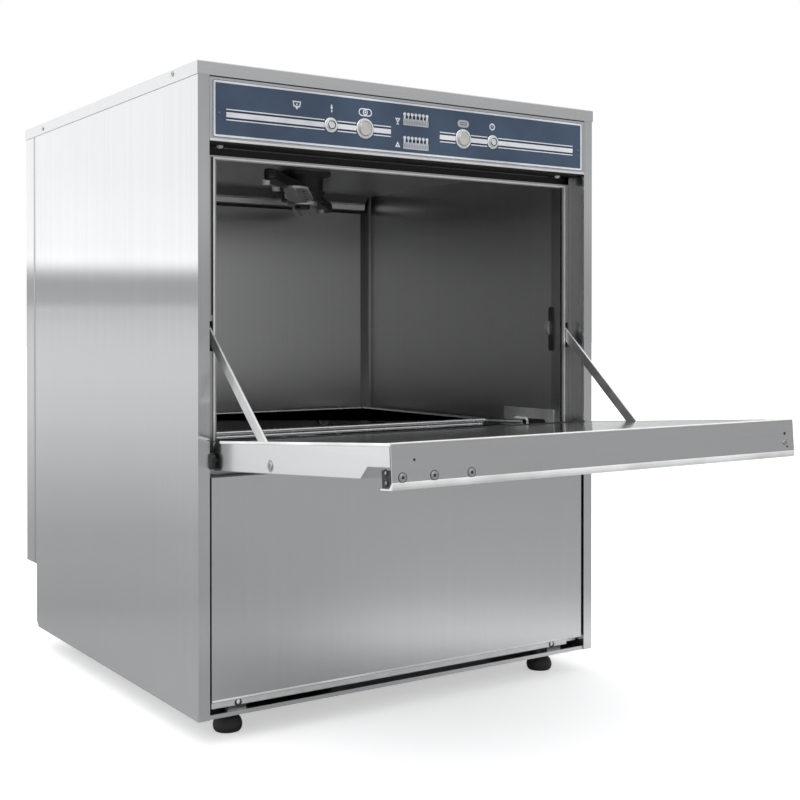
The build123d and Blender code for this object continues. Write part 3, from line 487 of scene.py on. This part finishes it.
def bar(mesh, section, x0, x1, place=at):
    """Section in the other two directions drawn out along X."""
    skin(mesh, [[place(x, a, b) for a, b in section] for x in (x0, x1)])


def prism(mesh, outline, y0, y1):
    """Outline in X and Z pushed from y0 to y1."""
    skin(mesh, [[at(x, y, z) for x, z in outline] for y in (y0, y1)])


def frame_prism(mesh, outer, inner, y0, y1):
    """Closed band between two outlines in X and Z."""
    stack = ((outer, y0), (inner, y0), (inner, y1), (outer, y1))
    skin(mesh, [[at(x, y, z) for x, z in line] for line, y in stack], closed=True)


def lathe(mesh, outline, origin, axis, segments=40, place=at, bands=None):
    """Outline of (radius, height) pairs turned about an axis. Ends on the axis close to a point."""
    axis = Vector(axis).normalized()
    side = axis.orthogonal().normalized()
    other = axis.cross(side)
    rings = []
    for radius, height in outline:
        middle = Vector(origin) + axis * height
        if radius < 1e-6:
            rings.append([mesh.verts.new(place(*middle))])
            continue
        ring = []
        for i in range(segments):
            turn = math.tau * i / segments
            spot = middle + (side * math.cos(turn) + other * math.sin(turn)) * radius
            ring.append(mesh.verts.new(place(*spot)))
        rings.append(ring)
    for k, (a, b) in enumerate(zip(rings, rings[1:])):
        index = bands[k] if bands else 0
        for i in range(segments):
            j = (i + 1) % segments
            corners = [a[i % len(a)], a[j % len(a)], b[j % len(b)], b[i % len(b)]]
            mesh.faces.new(list(dict.fromkeys(corners))).material_index = index


def circle(x, z, radius, n=24):
    turns = [math.tau * i / n for i in range(n)]
    return [(x + radius * math.cos(turn), z + radius * math.sin(turn)) for turn in turns]


def oblong(x, z, width, height, n=9):
    """Outline with round ends."""
    r, half = height / 2, width / 2 - height / 2
    turns = [math.pi * i / n for i in range(n + 1)]
    right = [(x + half + r * math.sin(turn), z - r * math.cos(turn)) for turn in turns]
    left = [(x - half - r * math.sin(turn), z + r * math.cos(turn)) for turn in turns]
    return right + left


def box_outline(x0, x1, z0, z1, r=0.0, n=5):
    """Rectangle, with rounded corners if r is given."""
    if not r:
        return [(x0, z0), (x1, z0), (x1, z1), (x0, z1)]
    points = []
    corners = ((x1 - r, z0 + r, -90), (x1 - r, z1 - r, 0), (x0 + r, z1 - r, 90), (x0 + r, z0 + r, 180))
    for cx, cz, start in corners:
        for i in range(n + 1):
            turn = math.radians(start + 90 * i / n)
            points.append((cx + r * math.cos(turn), cz + r * math.sin(turn)))
    return points


# ---------------------------------------------------------------- control panel

FILM_Y, PRINT_Y = -0.15, -0.28       # just inside the film, and the face of the print
FILM = (-280.2, 280.2, 694.7, 759.8)
SMALL_X, BIG_X, BUTTON_Z = (-124.2, 123.3), (-75.8, 74.8), 721.6
SMALL_R, BIG_R, BEZEL = 5.9, 9.4, 3.1
GAUGES = (731.2, 701.6)
GAUGE_X = (-19.0, 19.5)


def inset(box, d):
    return box[0] + d, box[1] - d, box[2] + d, box[3] - d


def panel_border():
    dark, white, bead = bmesh.new(), bmesh.new(), bmesh.new()
    outer, middle = box_outline(*FILM, 2.0), box_outline(*inset(FILM, 0.5), 1.6)
    inner = box_outline(*inset(FILM, 2.9), 1.0)
    frame_prism(dark, outer, middle, FILM_Y, PRINT_Y)
    frame_prism(white, middle, inner, FILM_Y, PRINT_Y)
    # Black strip in the gap under the cap: painted shade.
    prism(bead, box_outline(-284.0, 284.0, 762.7, 764.1), 0.3, -0.12)
    piece("panel_border_shadow", dark, "print_dark")
    piece("panel_border", white, "print")
    piece("fascia_top_gap_shade", bead, "black")


def panel_stripes():
    """Wide and narrow printed lines that stop at the button bezels."""
    light, dark = bmesh.new(), bmesh.new()
    gap_small, gap_big = SMALL_R + BEZEL + 0.1, BIG_R + BEZEL + 0.1
    spans = [
        (-263.6, SMALL_X[0] - gap_small),
        (SMALL_X[0] + gap_small, BIG_X[0] - gap_big),
        (BIG_X[0] + gap_big, -37.5),
        (37.5, BIG_X[1] - gap_big),
        (BIG_X[1] + gap_big, SMALL_X[1] - gap_small),
        (SMALL_X[1] + gap_small, 263.0),
    ]
    for x0, x1 in spans:
        for z0, z1 in ((726.5, 727.8), (718.2, 724.1), (714.6, 715.9)):
            prism(light, box_outline(x0, x1, z0, z1), FILM_Y, PRINT_Y)
        for z0, z1 in ((724.3, 726.2), (716.1, 718.0)):
            prism(dark, box_outline(x0, x1, z0, z1), FILM_Y, PRINT_Y + 0.04)
    piece("panel_stripes", light, "print")
    piece("panel_stripe_shadows", dark, "print_dark")


def printed(mesh, points):
    """Solid shape on the film."""
    prism(mesh, points, FILM_Y, PRINT_Y)


def printed_ring(mesh, outer, inner):
    frame_prism(mesh, outer, inner, FILM_Y, PRINT_Y)


def tank_sign(mesh, x, z):
    """Tapered basin with a spout below and a dot inside."""
    outer = [(x - 5.8, z + 4.8), (x + 5.8, z + 4.8), (x + 4.4, z - 2.2), (x - 4.4, z - 2.2)]
    inner = [(x - 4.1, z + 3.3), (x + 4.1, z + 3.3), (x + 3.1, z - 0.8), (x - 3.1, z - 0.8)]
    printed_ring(mesh, outer[::-1], inner[::-1])
    printed(mesh, [(x - 2.4, z - 2.3), (x, z - 5.6), (x + 2.4, z - 2.3)])
    printed(mesh, circle(x, z + 1.0, 1.1, 12))


def flame_sign(mesh, x, z):
    """Narrow flame in two parts."""
    low = [(0, -5.0), (1.1, -3.4), (1.0, -1.6), (-0.2, -1.1), (-1.1, -2.4)]
    high = [(-0.2, -1.0), (1.6, 0.4), (1.4, 1.9), (0.4, 5.0), (-0.4, 5.0), (-1.4, 1.9), (-1.5, 0.3)]
    for outline in (low, high):
        printed(mesh, [(x + a, z + b) for a, b in outline])


def cycle_sign(mesh, x, z):
    """Plate inside a long oval."""
    printed_ring(mesh, oblong(x, z, 19.4, 9.6), oblong(x, z, 16.6, 6.8))
    printed_ring(mesh, circle(x, z, 3.5), circle(x, z, 2.3))
    printed(mesh, circle(x, z, 1.2, 12))


def power_sign(mesh, x, z):
    """Ring with a short bar."""
    printed_ring(mesh, circle(x, z, 4.6), circle(x, z, 3.0))
    printed(mesh, [(x - 0.5, z - 0.6), (x + 0.5, z - 0.6), (x + 0.5, z + 2.3), (x - 0.5, z + 2.3)])


def panel_pictograms():
    mesh, grey, dark = bmesh.new(), bmesh.new(), bmesh.new()
    over, face = PRINT_Y + 0.02, PRINT_Y - 0.05
    tank_sign(mesh, -171.3, 741.0)
    flame_sign(mesh, -123.3, 741.5)
    cycle_sign(mesh, -75.2, 741.6)
    x, z = 75.0, 741.2
    printed(grey, oblong(x, z, 18.4, 9.4))
    frame_prism(dark, oblong(x, z, 10.6, 3.6), oblong(x, z, 9.0, 2.0), over, face)
    power_sign(mesh, 122.4, 741.4)
    x = -27.3
    for z, way in ((736.2, -1), (706.2, 1)):
        printed(mesh, [(x - 3.9, z - 3.1 * way), (x + 3.9, z - 3.1 * way), (x, z + 3.9 * way)])
        prism(dark, circle(x, z - 0.7 * way, 0.95, 12), over, face)
    printed(mesh, [(-29.6, 731.2), (-25.0, 731.2), (-25.8, 732.5), (-28.8, 732.5)])
    piece("panel_pictograms", mesh, "print")
    piece("panel_pictogram_oval", grey, "print_grey")
    piece("panel_pictogram_details", dark, "print_dark")


def gauges():
    """Bar-graph windows: a light bar with a row of round-topped marks over it."""
    bars, marks, gaps = bmesh.new(), bmesh.new(), bmesh.new()
    x0, x1 = GAUGE_X
    line_pitch, mark_pitch = (x1 - x0 - 4.0) / 14, (x1 - x0 - 4.2) / 6
    for z0 in GAUGES:
        prism(bars, box_outline(x0, x1, z0, z0 + 8.4, 0.5), FILM_Y, -0.55)
        for i in range(15):
            x = x0 + 2.0 + i * line_pitch
            top = z0 + (6.6 if i % 2 else 5.6)
            prism(gaps, box_outline(x - 0.22, x + 0.22, z0 + 2.0, top), -0.5, -0.58)
        for i in range(7):
            x = x0 + 2.1 + i * mark_pitch
            half = 1.3 if i in (0, 6) else 0.6
            prism(marks, box_outline(x - half, x + half, z0 + 8.2, z0 + 12.6), FILM_Y, -0.50)
            prism(marks, circle(x, z0 + 14.0, 2.15, 20), FILM_Y, -0.52)
            if i < 6:
                prism(gaps, circle(x + mark_pitch / 2, z0 + 10.4, 1.75, 16), FILM_Y, -0.3)
    piece("gauge_bars", bars, "print_grey", replaces=("indicators",))
    piece("gauge_marks", marks, "print")
    piece("gauge_engraving", gaps, "print_dark")


def panel_lamps():
    """Small domed lamp at each end of the film."""
    lamps = bmesh.new()
    dome = [(0, 0), (1.7, 0), (1.7, 0.6), (1.45, 1.0), (0.9, 1.2), (0, 1.25)]
    for x in (-272.4, 272.7):
        lathe(lamps, dome, (x, FILM_Y, BUTTON_Z + 0.4), (0, -1, 0), 20)
    piece("panel_lamps", lamps, "lens", smooth=True)


def cap_outline(radius, inner, groove):
    """Button cap with a stem behind it and a groove round its face."""
    return [
        (0, -4.5), (1.9, -4.5), (1.9, -2.9), (radius + 1.3, -2.9), (radius + 1.3, -1.6),
        (radius - 0.05, -1.6), (radius - 0.05, 2.5), (radius - 0.2, 2.9), (radius - 0.4, 3.0),
        (inner + groove, 2.95), (inner + groove, 2.3), (inner, 2.3), (inner, 2.95), (inner - 0.3, 3.2),
        (inner * 0.5, 3.1), (0, 3.05),
    ]


def bezel_outline(radius):
    """Closed section of the ring round a button, with a rounded lip."""
    return [
        (radius + 0.08, -0.2), (radius + BEZEL, -0.2), (radius + BEZEL, 0.9), (radius + BEZEL - 0.4, 1.4),
        (radius + 1.6, 1.6), (radius + 0.5, 1.5), (radius + 0.08, 1.1), (radius + 0.08, -0.2),
    ]


def buttons():
    """Turned caps with an engraved ring in near-black as painted shade, in bezels with a rounded lip."""
    rings = bmesh.new()
    groove_bands = [0] * 9 + [1, 1, 1] + [0] * 3
    kinds = (
        ("small", SMALL_R, SMALL_X, 4.2, 1.2, "button_bright"),
        ("big", BIG_R, BIG_X, 8.4, 0.5, "button"),
    )
    for size, radius, spots, inner, groove, face in kinds:
        for side, x in zip(("left", "right"), spots):
            cap = bmesh.new()
            name = f"button_{size}_{side}"
            lathe(cap, cap_outline(radius, inner, groove), (x, 0, BUTTON_Z), (0, -1, 0), bands=groove_bands)
            piece(f"{name}_cap", cap, (face, "groove"), name, (name,), smooth=True)
            lathe(rings, bezel_outline(radius), (x, 0, BUTTON_Z), (0, -1, 0))
    bmesh.ops.remove_doubles(rings, verts=rings.verts, dist=SEAM)
    piece("button_bezel_rings", rings, "button_bright", replaces=("button_bezels",),
          smooth=True)


def fascia_edges():
    """White screw caps under the fascia, its bottom fold in near-white as a painted highlight, and a black
    sheet behind it as painted shade in the recess.
    """
    caps, fold, recess_shade = bmesh.new(), bmesh.new(), bmesh.new()
    cap = [(0, -0.4), (4.0, -0.4), (4.2, 0.6), (3.9, 2.0), (2.8, 3.2), (1.4, 3.9), (0, 4.1)]
    for x in (-258.7, 258.7):
        lathe(caps, cap, (x, 26.8, 689.6), (0, 0, -1), 24)
    lip = [(0.15, 689.95), (-0.1, 690.0), (-0.35, 690.5), (-0.4, 691.4), (-0.3, 692.3), (0.15, 692.6)]
    bar(fold, lip, -284.2, 284.2)
    bar(recess_shade, [(3.0, 689.95), (3.0, 688.9), (37.6, 688.9), (37.6, 689.95)], -283.5, 283.5)
    piece("fascia_screw_caps", caps, "nozzle", smooth=True)
    piece("fascia_bottom_fold", fold, "edge")
    piece("recess_shade_sheet", recess_shade, "rubber")


def rear_seams():
    """Shadowed joint where each side panel meets the return of the rear cover."""
    seams = bmesh.new()
    section = [
        (298.8, 571.6), (299.2, 571.8), (299.35, 572.3), (299.35, 577.2), (299.2, 577.7), (298.8, 577.9),
    ]
    for side in (-1, 1):
        skin(seams, [[at(x * side, y, z) for x, y in section] for z in (124.0, 763.6)])
    piece("rear_seams", seams, "jamb")


# ---------------------------------------------------------------- feet

FOOT_X, FOOT_ROWS = 241.0, (("front", 44.0), ("back", 520.0))
PAD = [
    (0, 0), (12.0, 0), (15.0, 0.8), (16.6, 3.0), (17.6, 7.0), (17.2, 10.5), (15.8, 14.2), (13.8, 16.8),
    (12.6, 17.8), (0, 18.0),
]
NUT = [(0, 17.9), (8.2, 17.9), (9.0, 18.5), (9.0, 23.3), (8.2, 24.0), (0, 24.0)]
WASHER = [(0, 24.0), (9.4, 24.0), (9.8, 24.4), (9.8, 25.4), (9.4, 25.8), (0, 25.8)]
THREAD_PITCH, THREAD_END = 1.25, 94.0


def thread():
    outline = [(0, 21.5)]
    z = 21.8
    while z < THREAD_END:
        outline += [(4.25, z), (4.95, z + 0.5), (4.25, z + 1.0)]
        z += THREAD_PITCH
    return outline + [(4.0, 94.6), (0, 95.0)]


def foot(name, x, y):
    """Rounded rubber pad, hexagon nut, washer and threaded stem."""
    rubber, steel = bmesh.new(), bmesh.new()
    lathe(rubber, PAD, (x, y, 0), (0, 0, 1), 48)
    piece(f"{name}_pad", rubber, "rubber", name, (name,), smooth=True)
    lathe(steel, NUT, (x, y, 0), (0, 0, 1), 6)
    lathe(steel, thread(), (x, y, 0), (0, 0, 1), 20)
    lathe(steel, WASHER, (x, y, 0), (0, 0, 1), 28)
    piece(f"{name}_stem", steel, "screw", name)


def feet():
    for row, y in FOOT_ROWS:
        for side, x in (("left", -FOOT_X), ("right", FOOT_X)):
            foot(f"foot_{row}_{side}", x, y)


def plinth():
    """Folded strip under the service panel in light metal as painted light, its edge in near-white as a
    painted highlight, and its two recessed screws with rings of painted shade round them.
    """
    strip, edge, recess, heads = bmesh.new(), bmesh.new(), bmesh.new(), bmesh.new()
    half = 281.3
    fold = [
        (4.6, 48.3), (3.6, 48.3), (3.2, 47.6), (3.2, 41.6), (3.8, 40.9), (13.0, 40.9), (13.0, 41.9),
        (4.6, 41.9),
    ]
    hem = [
        (2.05, 51.0), (1.5, 50.8), (1.2, 50.0), (1.3, 49.0), (1.8, 48.5), (3.4, 48.5), (3.4, 49.2),
        (2.05, 49.4),
    ]
    bar(strip, fold, -half, half - 26.0)
    bar(edge, hem, -half, half)
    ring = [(1.9, 0.0), (4.6, 0.0), (4.6, 0.35), (3.4, 0.5), (1.9, 0.3), (1.9, 0.0)]
    head = [(0, -0.2), (2.3, -0.2), (2.3, 0.5), (1.5, 1.0), (0, 1.1)]
    for x in (-247.5, 228.5):
        lathe(recess, ring, (x, 3.3, 44.0), (0, -1, 0), 24)
        lathe(heads, head, (x, 3.3, 45.4), (0, -1, 0), 20)
    bmesh.ops.remove_doubles(recess, verts=recess.verts, dist=SEAM)
    piece("plinth_strip", strip, "bracket")
    piece("service_panel_edge", edge, "hem")
    piece("plinth_screw_recesses", recess, "print_dark", smooth=True)
    piece("plinth_screw_heads", heads, "hem", smooth=True)


# ---------------------------------------------------------------- wash chamber

ARM_Y = 288.0              # distance of the arms' axis behind the front posts
# Nozzles of a wash arm, as (distance along the arm, distance across it).
ARM_JETS = ((-213.0, 8.2), (-139.0, 10.5), (-40.0, 13.0), (89.0, 3.0), (189.0, 5.0))


def on_arm(angle):
    """Place function for points drawn along an arm lying on X."""
    turn = math.radians(angle)

    def place(x, y, z):
        return at(x * math.cos(turn) - y * math.sin(turn), ARM_Y + x * math.sin(turn) + y * math.cos(turn), z)

    return place


NOZZLE = [
    (0, -1.4), (5.6, -1.4), (5.6, 0.4), (4.9, 0.9), (4.9, 4.4), (4.2, 5.3), (1.7, 5.4), (1.2, 5.0), (0, 4.9),
]
BALL_END = [
    (0, -7.6), (4.2, -7.2), (6.6, -5.8), (7.6, -3.4), (7.9, 0), (7.6, 3.4), (6.6, 5.8), (4.2, 7.2), (0, 7.6),
]
COLLAR = [(26.0, -2), (32.2, -2), (32.6, -1.2), (32.6, 1.2), (32.2, 2), (26.0, 2), (26.0, -2)]


def arm_details(body, angle, low, high, side):
    """Ball ends, white nozzles and a locking collar on a moulded wash arm."""
    place = on_arm(angle)
    white, black = bmesh.new(), bmesh.new()
    face = low if side < 0 else high
    middle = (low + high) / 2
    for x, y in ARM_JETS:
        lathe(white, NOZZLE, (x, y, face), (0, 0, side), 20, place)
    for x in (-227.5, 227.5):
        lathe(black, BALL_END, (x, 0, middle), (0, 0, 1), 28, place)
    lathe(black, COLLAR, (0, 0, middle), (0, 0, 1), 48, place)
    bmesh.ops.remove_doubles(black, verts=black.verts, dist=SEAM)
    piece(f"{body}_nozzles", white, "nozzle", body, smooth=True)
    piece(f"{body}_ends", black, "black", body, smooth=True)


# Half outline of a blade and of its rib, as (distance along, half width).
BLADE = [(46, -9.3), (70, -17.1), (140, -16.2), (206, -14.8), (219, -6.0)]
RIB = [(46, 1.2), (52, 2.6), (150, 2.8), (196, 2.2), (206, 1.0)]
RIM_SECTION = ((0.0, -0.5), (0.9, -0.3), (0.9, 0.3), (0.0, 0.5))
SPRAY_SLOT = [(0, 0), (2.3, 0), (2.3, 0.35), (1.1, 0.5), (0, 0.5)]
SPRAY_X = (80.0, 112.0, 144.0, 176.0)
RIB_RISE = 0.9


def blade_rim(rims, place, sign, low, high):
    """Rolled edge all round one blade, near-white as a painted highlight."""
    middle, size = (low + high) / 2, high - low + 1.0
    loops = []
    for x, y in BLADE + [(x, -y) for x, y in reversed(BLADE)]:
        grow = 1.0 if y > 0 else -1.0
        loops.append([place(sign * x, sign * (y + grow * a), middle + size * b) for a, b in RIM_SECTION])
    skin(rims, loops)


def blade_ribs(ribs, place, sign, low, high):
    """Pressed rib on each face of one blade."""
    outline = RIB + [(x, -w) for x, w in reversed(RIB)]
    for foot_z, crest_z in ((low, low - RIB_RISE), (high, high + RIB_RISE)):
        base = [place(sign * x, sign * w, foot_z) for x, w in outline]
        crest = [place(sign * x, sign * w * 0.5, crest_z) for x, w in outline]
        skin(ribs, [base, crest])


def leaf_ribs(body, angle, low, high):
    """Rims in near-white as a painted highlight, pressed ribs, and spray slots in near-black as painted shade
    along the blades of a rinse arm.
    """
    place = on_arm(angle)
    ribs, slots, rims = bmesh.new(), bmesh.new(), bmesh.new()
    for sign in (1, -1):
        blade_rim(rims, place, sign, low, high)
        blade_ribs(ribs, place, sign, low, high)
        for x in SPRAY_X:
            lathe(slots, SPRAY_SLOT, (sign * x, sign * 9.0, low), (0, 0, -1), 16, place)
            lathe(slots, SPRAY_SLOT, (sign * x, sign * 9.0, high), (0, 0, 1), 16, place)
    piece(f"{body}_ribs", ribs, "arm", body)
    piece(f"{body}_rims", rims, "edge", body)
    piece(f"{body}_jets", slots, "groove", body, smooth=True)


def wire(mesh, points, radius, sides=12):
    """Round wire swept along points given in the CAD model's millimetres."""
    spots = [Vector(p) for p in points]
    loops = []
    up = Vector((0, 0, 1))
    for i, spot in enumerate(spots):
        ahead = spots[min(i + 1, len(spots) - 1)] - spots[max(i - 1, 0)]
        side = ahead.cross(up).normalized()
        if side.length < 0.5:
            side = Vector((1, 0, 0))
        top = side.cross(ahead).normalized()
        turns = [math.tau * k / sides for k in range(sides)]
        loops.append([at(*(spot + (side * math.cos(a) + top * math.sin(a)) * radius)) for a in turns])
    skin(mesh, loops)


MOUTH_Z = 337.2            # lower end of the trim beside the mouth, clear of the closed door's hinge bead
BACK_HALF = 251.8          # half length of the trim between the corner strips of the back wall


def roof_cove():
    """Folded strip that runs from the roof down to the top of the back wall."""
    rails = bmesh.new()
    section = [
        (504.4, 701.8), (503.2, 701.8), (502.6, 701.0), (514.9, 688.7), (514.0, 688.2), (513.8, 687.0),
        (514.8, 686.4), (516.5, 678.6), (517.6, 677.6), (528.6, 677.6), (528.6, 678.2),
    ]
    bar(rails, section, -BACK_HALF, BACK_HALF)
    piece("tub_roof_cove", rails, "steel_roof")


def shadow_gaps():
    """Dark slots of the rack brackets and the joint under the cove."""
    shades = bmesh.new()
    slot = oblong(88.5, 342.1, 60.0, 11.6)
    for side in (-1, 1):
        skin(shades, [[at(x * side, y, z) for y, z in slot] for x in (263.9, 264.7)])
    joint = [(529.9, 673.4), (529.0, 673.4), (528.6, 674.2), (528.6, 676.4), (529.9, 676.6)]
    bar(shades, joint, -BACK_HALF, BACK_HALF)
    piece("chamber_shadow_gaps", shades, "groove")


def jamb_strips():
    """Flat strips that close the gap between the mouth and the front posts, in darker steel as painted shade.
    """
    jambs = bmesh.new()
    for side in (-1, 1):
        for z0, z1 in ((MOUTH_Z, 447.0), (488.0, 675.5)):
            strip = [(271.4, z0), (276.4, z0), (276.4, z1), (271.4, z1)]
            prism(jambs, [(x * side, z) for x, z in strip][::side], 23.9, 24.7)
        strip = [(276.6, MOUTH_Z), (284.3, MOUTH_Z), (284.3, 688.0), (276.6, 688.0)]
        prism(jambs, [(x * side, z) for x, z in strip][::side], 23.3, 24.7)
        cover = [(284.55, MOUTH_Z), (283.95, 337.8), (283.95, 687.0), (284.55, 687.6)]
        prism(jambs, [(x * side, z) for x, z in cover][::side], 2.0, 23.2)
    lip = [(265.3, MOUTH_Z), (268.1, MOUTH_Z), (268.1, 673.0), (265.3, 673.0)]
    prism(jambs, lip, 23.15, 23.55)
    piece("mouth_jamb_strips", jambs, "jamb")


def mouth_edge():
    """Rolled edge round the sides and top of the mouth, near-white as a painted highlight."""
    edge = bmesh.new()
    outer = [(-268.8, MOUTH_Z), (-268.8, 675.0), (270.4, 675.0), (270.4, MOUTH_Z)]
    inner = [(268.2, MOUTH_Z), (268.2, 673.1), (-266.9, 673.1), (-266.9, MOUTH_Z)]
    prism(edge, outer + inner, 23.8, 23.1)
    piece("mouth_rolled_edge", edge, "edge")


def wall_fittings():
    """Catches of the wall covers, and hooks of the rack support in near-white as a painted highlight on their
    wire.
    """
    catches, hooks = bmesh.new(), bmesh.new()
    for side in (-1, 1):
        wall = 262.0 * side
        shell = [
            (wall, 487.0), (wall - 2.6 * side, 485.0), (wall - 4.4 * side, 480.0), (wall - 4.6 * side, 475.0),
            (wall - 3.4 * side, 470.5), (wall, 468.0),
        ]
        prism(catches, shell[::side], 46.4, 52.4)
        x = 260.6 * side
        turn = [math.radians(90 + 18 * k) for k in range(11)]
        bend = [(x, 98.0 + 5.0 * math.cos(a), 342.0 + 5.0 * math.sin(a)) for a in turn]
        wire(hooks, [(x, 121.0, 346.6)] + bend + [(x, 121.0, 337.4)], 1.7)
    piece("wall_cover_catches", catches, "edge")
    piece("rack_support_hooks", hooks, "nozzle", smooth=True)


# ---------------------------------------------------------------- door

DOOR_TILT = math.radians(3.9)
HINGE_Z = 325.2
DOOR_FRONT = 363.0         # distance of the front face from the hinge


def on_door(x, u, v):
    """Row-frame point of a place on the open door, by distance from its hinge and height above its plane."""
    c, s = math.cos(DOOR_TILT), math.sin(DOOR_TILT)
    return at(x, -u * c + v * s, HINGE_Z + u * s + v * c)


RIVETS = ((-266.0, -9.0), (-230.5, -9.0), (-187.3, -9.0))
FRONT_DOTS = ((262.3, 6.8, 1.7), (265.7, -8.4, 1.2), (-252.4, 6.6, 1.3))
RIVET_STEM = [(0, 0.3), (1.6, 0.3), (1.6, 0.82), (1.1, 0.86), (0, 0.82)]
RIVET_WASHER = [(1.7, 0.0), (4.1, 0.0), (4.1, 0.25), (3.7, 0.42), (3.0, 0.42), (1.7, 0.42), (1.7, 0.0)]
RIVET_RING = [(4.1, 0.0), (4.9, 0.0), (4.8, 0.2), (4.2, 0.3), (4.1, 0.0)]
STRAP_WASHER = [(3.0, 0.0), (6.6, 0.0), (6.8, 0.25), (6.4, 0.6), (3.0, 0.6), (3.0, 0.0)]
SOCKET_RING = [(1.5, 0.0), (3.6, 0.0), (3.6, 0.5), (3.0, 0.8), (1.9, 0.6), (1.5, 0.2), (1.5, 0.0)]
SOCKET_FLOOR = [(0, 0.0), (1.5, 0.0), (1.5, 0.3), (0, 0.3)]


def door_fasteners():
    """Meshes of the dark stems, the washers and the dark rings on the front and sides of the door."""
    stems, washers, rings = bmesh.new(), bmesh.new(), bmesh.new()
    for x, v in RIVETS:
        spot = (x, DOOR_FRONT, v)
        lathe(stems, RIVET_STEM, spot, (0, 1, 0), 16, on_door)
        lathe(washers, RIVET_WASHER, spot, (0, 1, 0), 28, on_door)
        lathe(rings, RIVET_RING, spot, (0, 1, 0), 28, on_door)
    for x, v, r in FRONT_DOTS:
        dot = [(0, 0), (r, 0), (r, 0.25), (0.6 * r, 0.35), (0, 0.35)]
        lathe(stems, dot, (x, DOOR_FRONT, v), (0, 1, 0), 16, on_door)
    for side in (-1, 1):
        lathe(washers, STRAP_WASHER, (277.4 * side, 132.3, -2.6), (side, 0, 0), 32, on_door)
    for side in (-1, 1):
        for v in (-4.2, -13.2):
            spot = (276.8 * side, 351.6, v)
            lathe(rings, SOCKET_RING, spot, (side, 0, 0), 24, on_door)
            lathe(washers, SOCKET_FLOOR, spot, (side, 0, 0), 20, on_door)
    bmesh.ops.remove_doubles(washers, verts=washers.verts, dist=SEAM)
    bmesh.ops.remove_doubles(rings, verts=rings.verts, dist=SEAM)
    return stems, washers, rings


def door_sides():
    """Thin skins over both side faces, much lighter than the door's steel: a painted highlight."""
    mesh = bmesh.new()
    outline = [(16.0, 19.5), (360.5, 19.5), (360.5, 1.2), (322.6, 1.2), (309.6, -10.2), (16.0, -10.2)]
    for side in (-1, 1):
        skin(mesh, [[on_door(x * side, u, v) for u, v in outline] for x in (277.35, 277.7)])
    return mesh


def front_rim():
    """Rounded lip along the front of the liner and the fold just before it, near-white as a painted
    highlight.
    """
    mesh = bmesh.new()
    lip = [(352.0, 22.1), (355.5, 22.9), (358.4, 23.0), (359.6, 22.6), (360.0, 22.1)]
    fold = [(362.2, 22.1), (362.5, 22.35), (363.0, 22.3), (363.15, 22.0), (363.1, 21.6), (362.8, 21.5)]
    for section in (lip, fold):
        bar(mesh, section, -276.3, 276.3, on_door)
    return mesh


def side_rims():
    """Folded edge along both sides of the liner, near-white as a painted highlight."""
    mesh = bmesh.new()
    section = [
        (276.4, 22.1), (276.6, 22.7), (277.3, 22.8), (277.75, 22.2), (277.75, 20.2), (277.4, 19.8),
        (277.3, 21.8),
    ]
    for side in (-1, 1):
        skin(mesh, [[on_door(x * side, u, v) for x, v in section] for u in (12.5, 362.0)])
    return mesh


def grip_edge():
    """Folded lower edge of the grip, near-white as a painted highlight."""
    mesh = bmesh.new()
    section = [
        (362.6, -12.8), (363.35, -13.6), (363.5, -15.2), (363.2, -17.6), (362.2, -19.4), (360.8, -20.3),
        (343.0, -20.3), (343.0, -19.2), (357.6, -19.2), (362.0, -14.0),
    ]
    bar(mesh, section, -277.5, 277.5, on_door)
    return mesh


def hinge_bead():
    """Rubber bead along the hinge edge of the liner."""
    mesh = bmesh.new()
    section = [(3.2, 22.2), (3.2, 22.9), (4.0, 23.3), (8.0, 23.3), (8.8, 22.9), (8.8, 22.2)]
    bar(mesh, section, -282.8, 282.8, on_door)
    return mesh


def door_details():
    stems, washers, rings = door_fasteners()
    piece("door_flanks", door_sides(), "steel_flank", "door")
    piece("door_front_rim", front_rim(), "edge", "door")
    piece("door_liner_rim", side_rims(), "hem", "door")
    piece("door_rivet_rings", rings, "print_dark", "door", smooth=True)
    piece("door_grip_edge", grip_edge(), "hem", "door")
    piece("door_hinge_bead", hinge_bead(), "rubber", "door")
    piece("door_rivet_stems", stems, "print_dark", "door", smooth=True)
    piece("door_washers", washers, "screw", "door", smooth=True)


# ---------------------------------------------------------------- run

make_camera()
make_world()
make_floor()
looks = make_materials()
finish_cad_nodes(looks)
panel_border()
panel_stripes()
panel_pictograms()
gauges()
panel_lamps()
buttons()
fascia_edges()
rear_seams()
feet()
plinth()
arm_details("upper_wash_arm", 50.0, 666.0, 679.0, -1)
arm_details("lower_wash_arm", 20.0, 301.0, 313.0, 1)
leaf_ribs("upper_rinse_arm", 58.0, 656.0, 658.5)
leaf_ribs("lower_rinse_arm", -40.0, 319.5, 322.0)
roof_cove()
shadow_gaps()
jamb_strips()
mouth_edge()
wall_fittings()
door_details()

bpy.context.scene.view_settings.view_transform = "Standard"
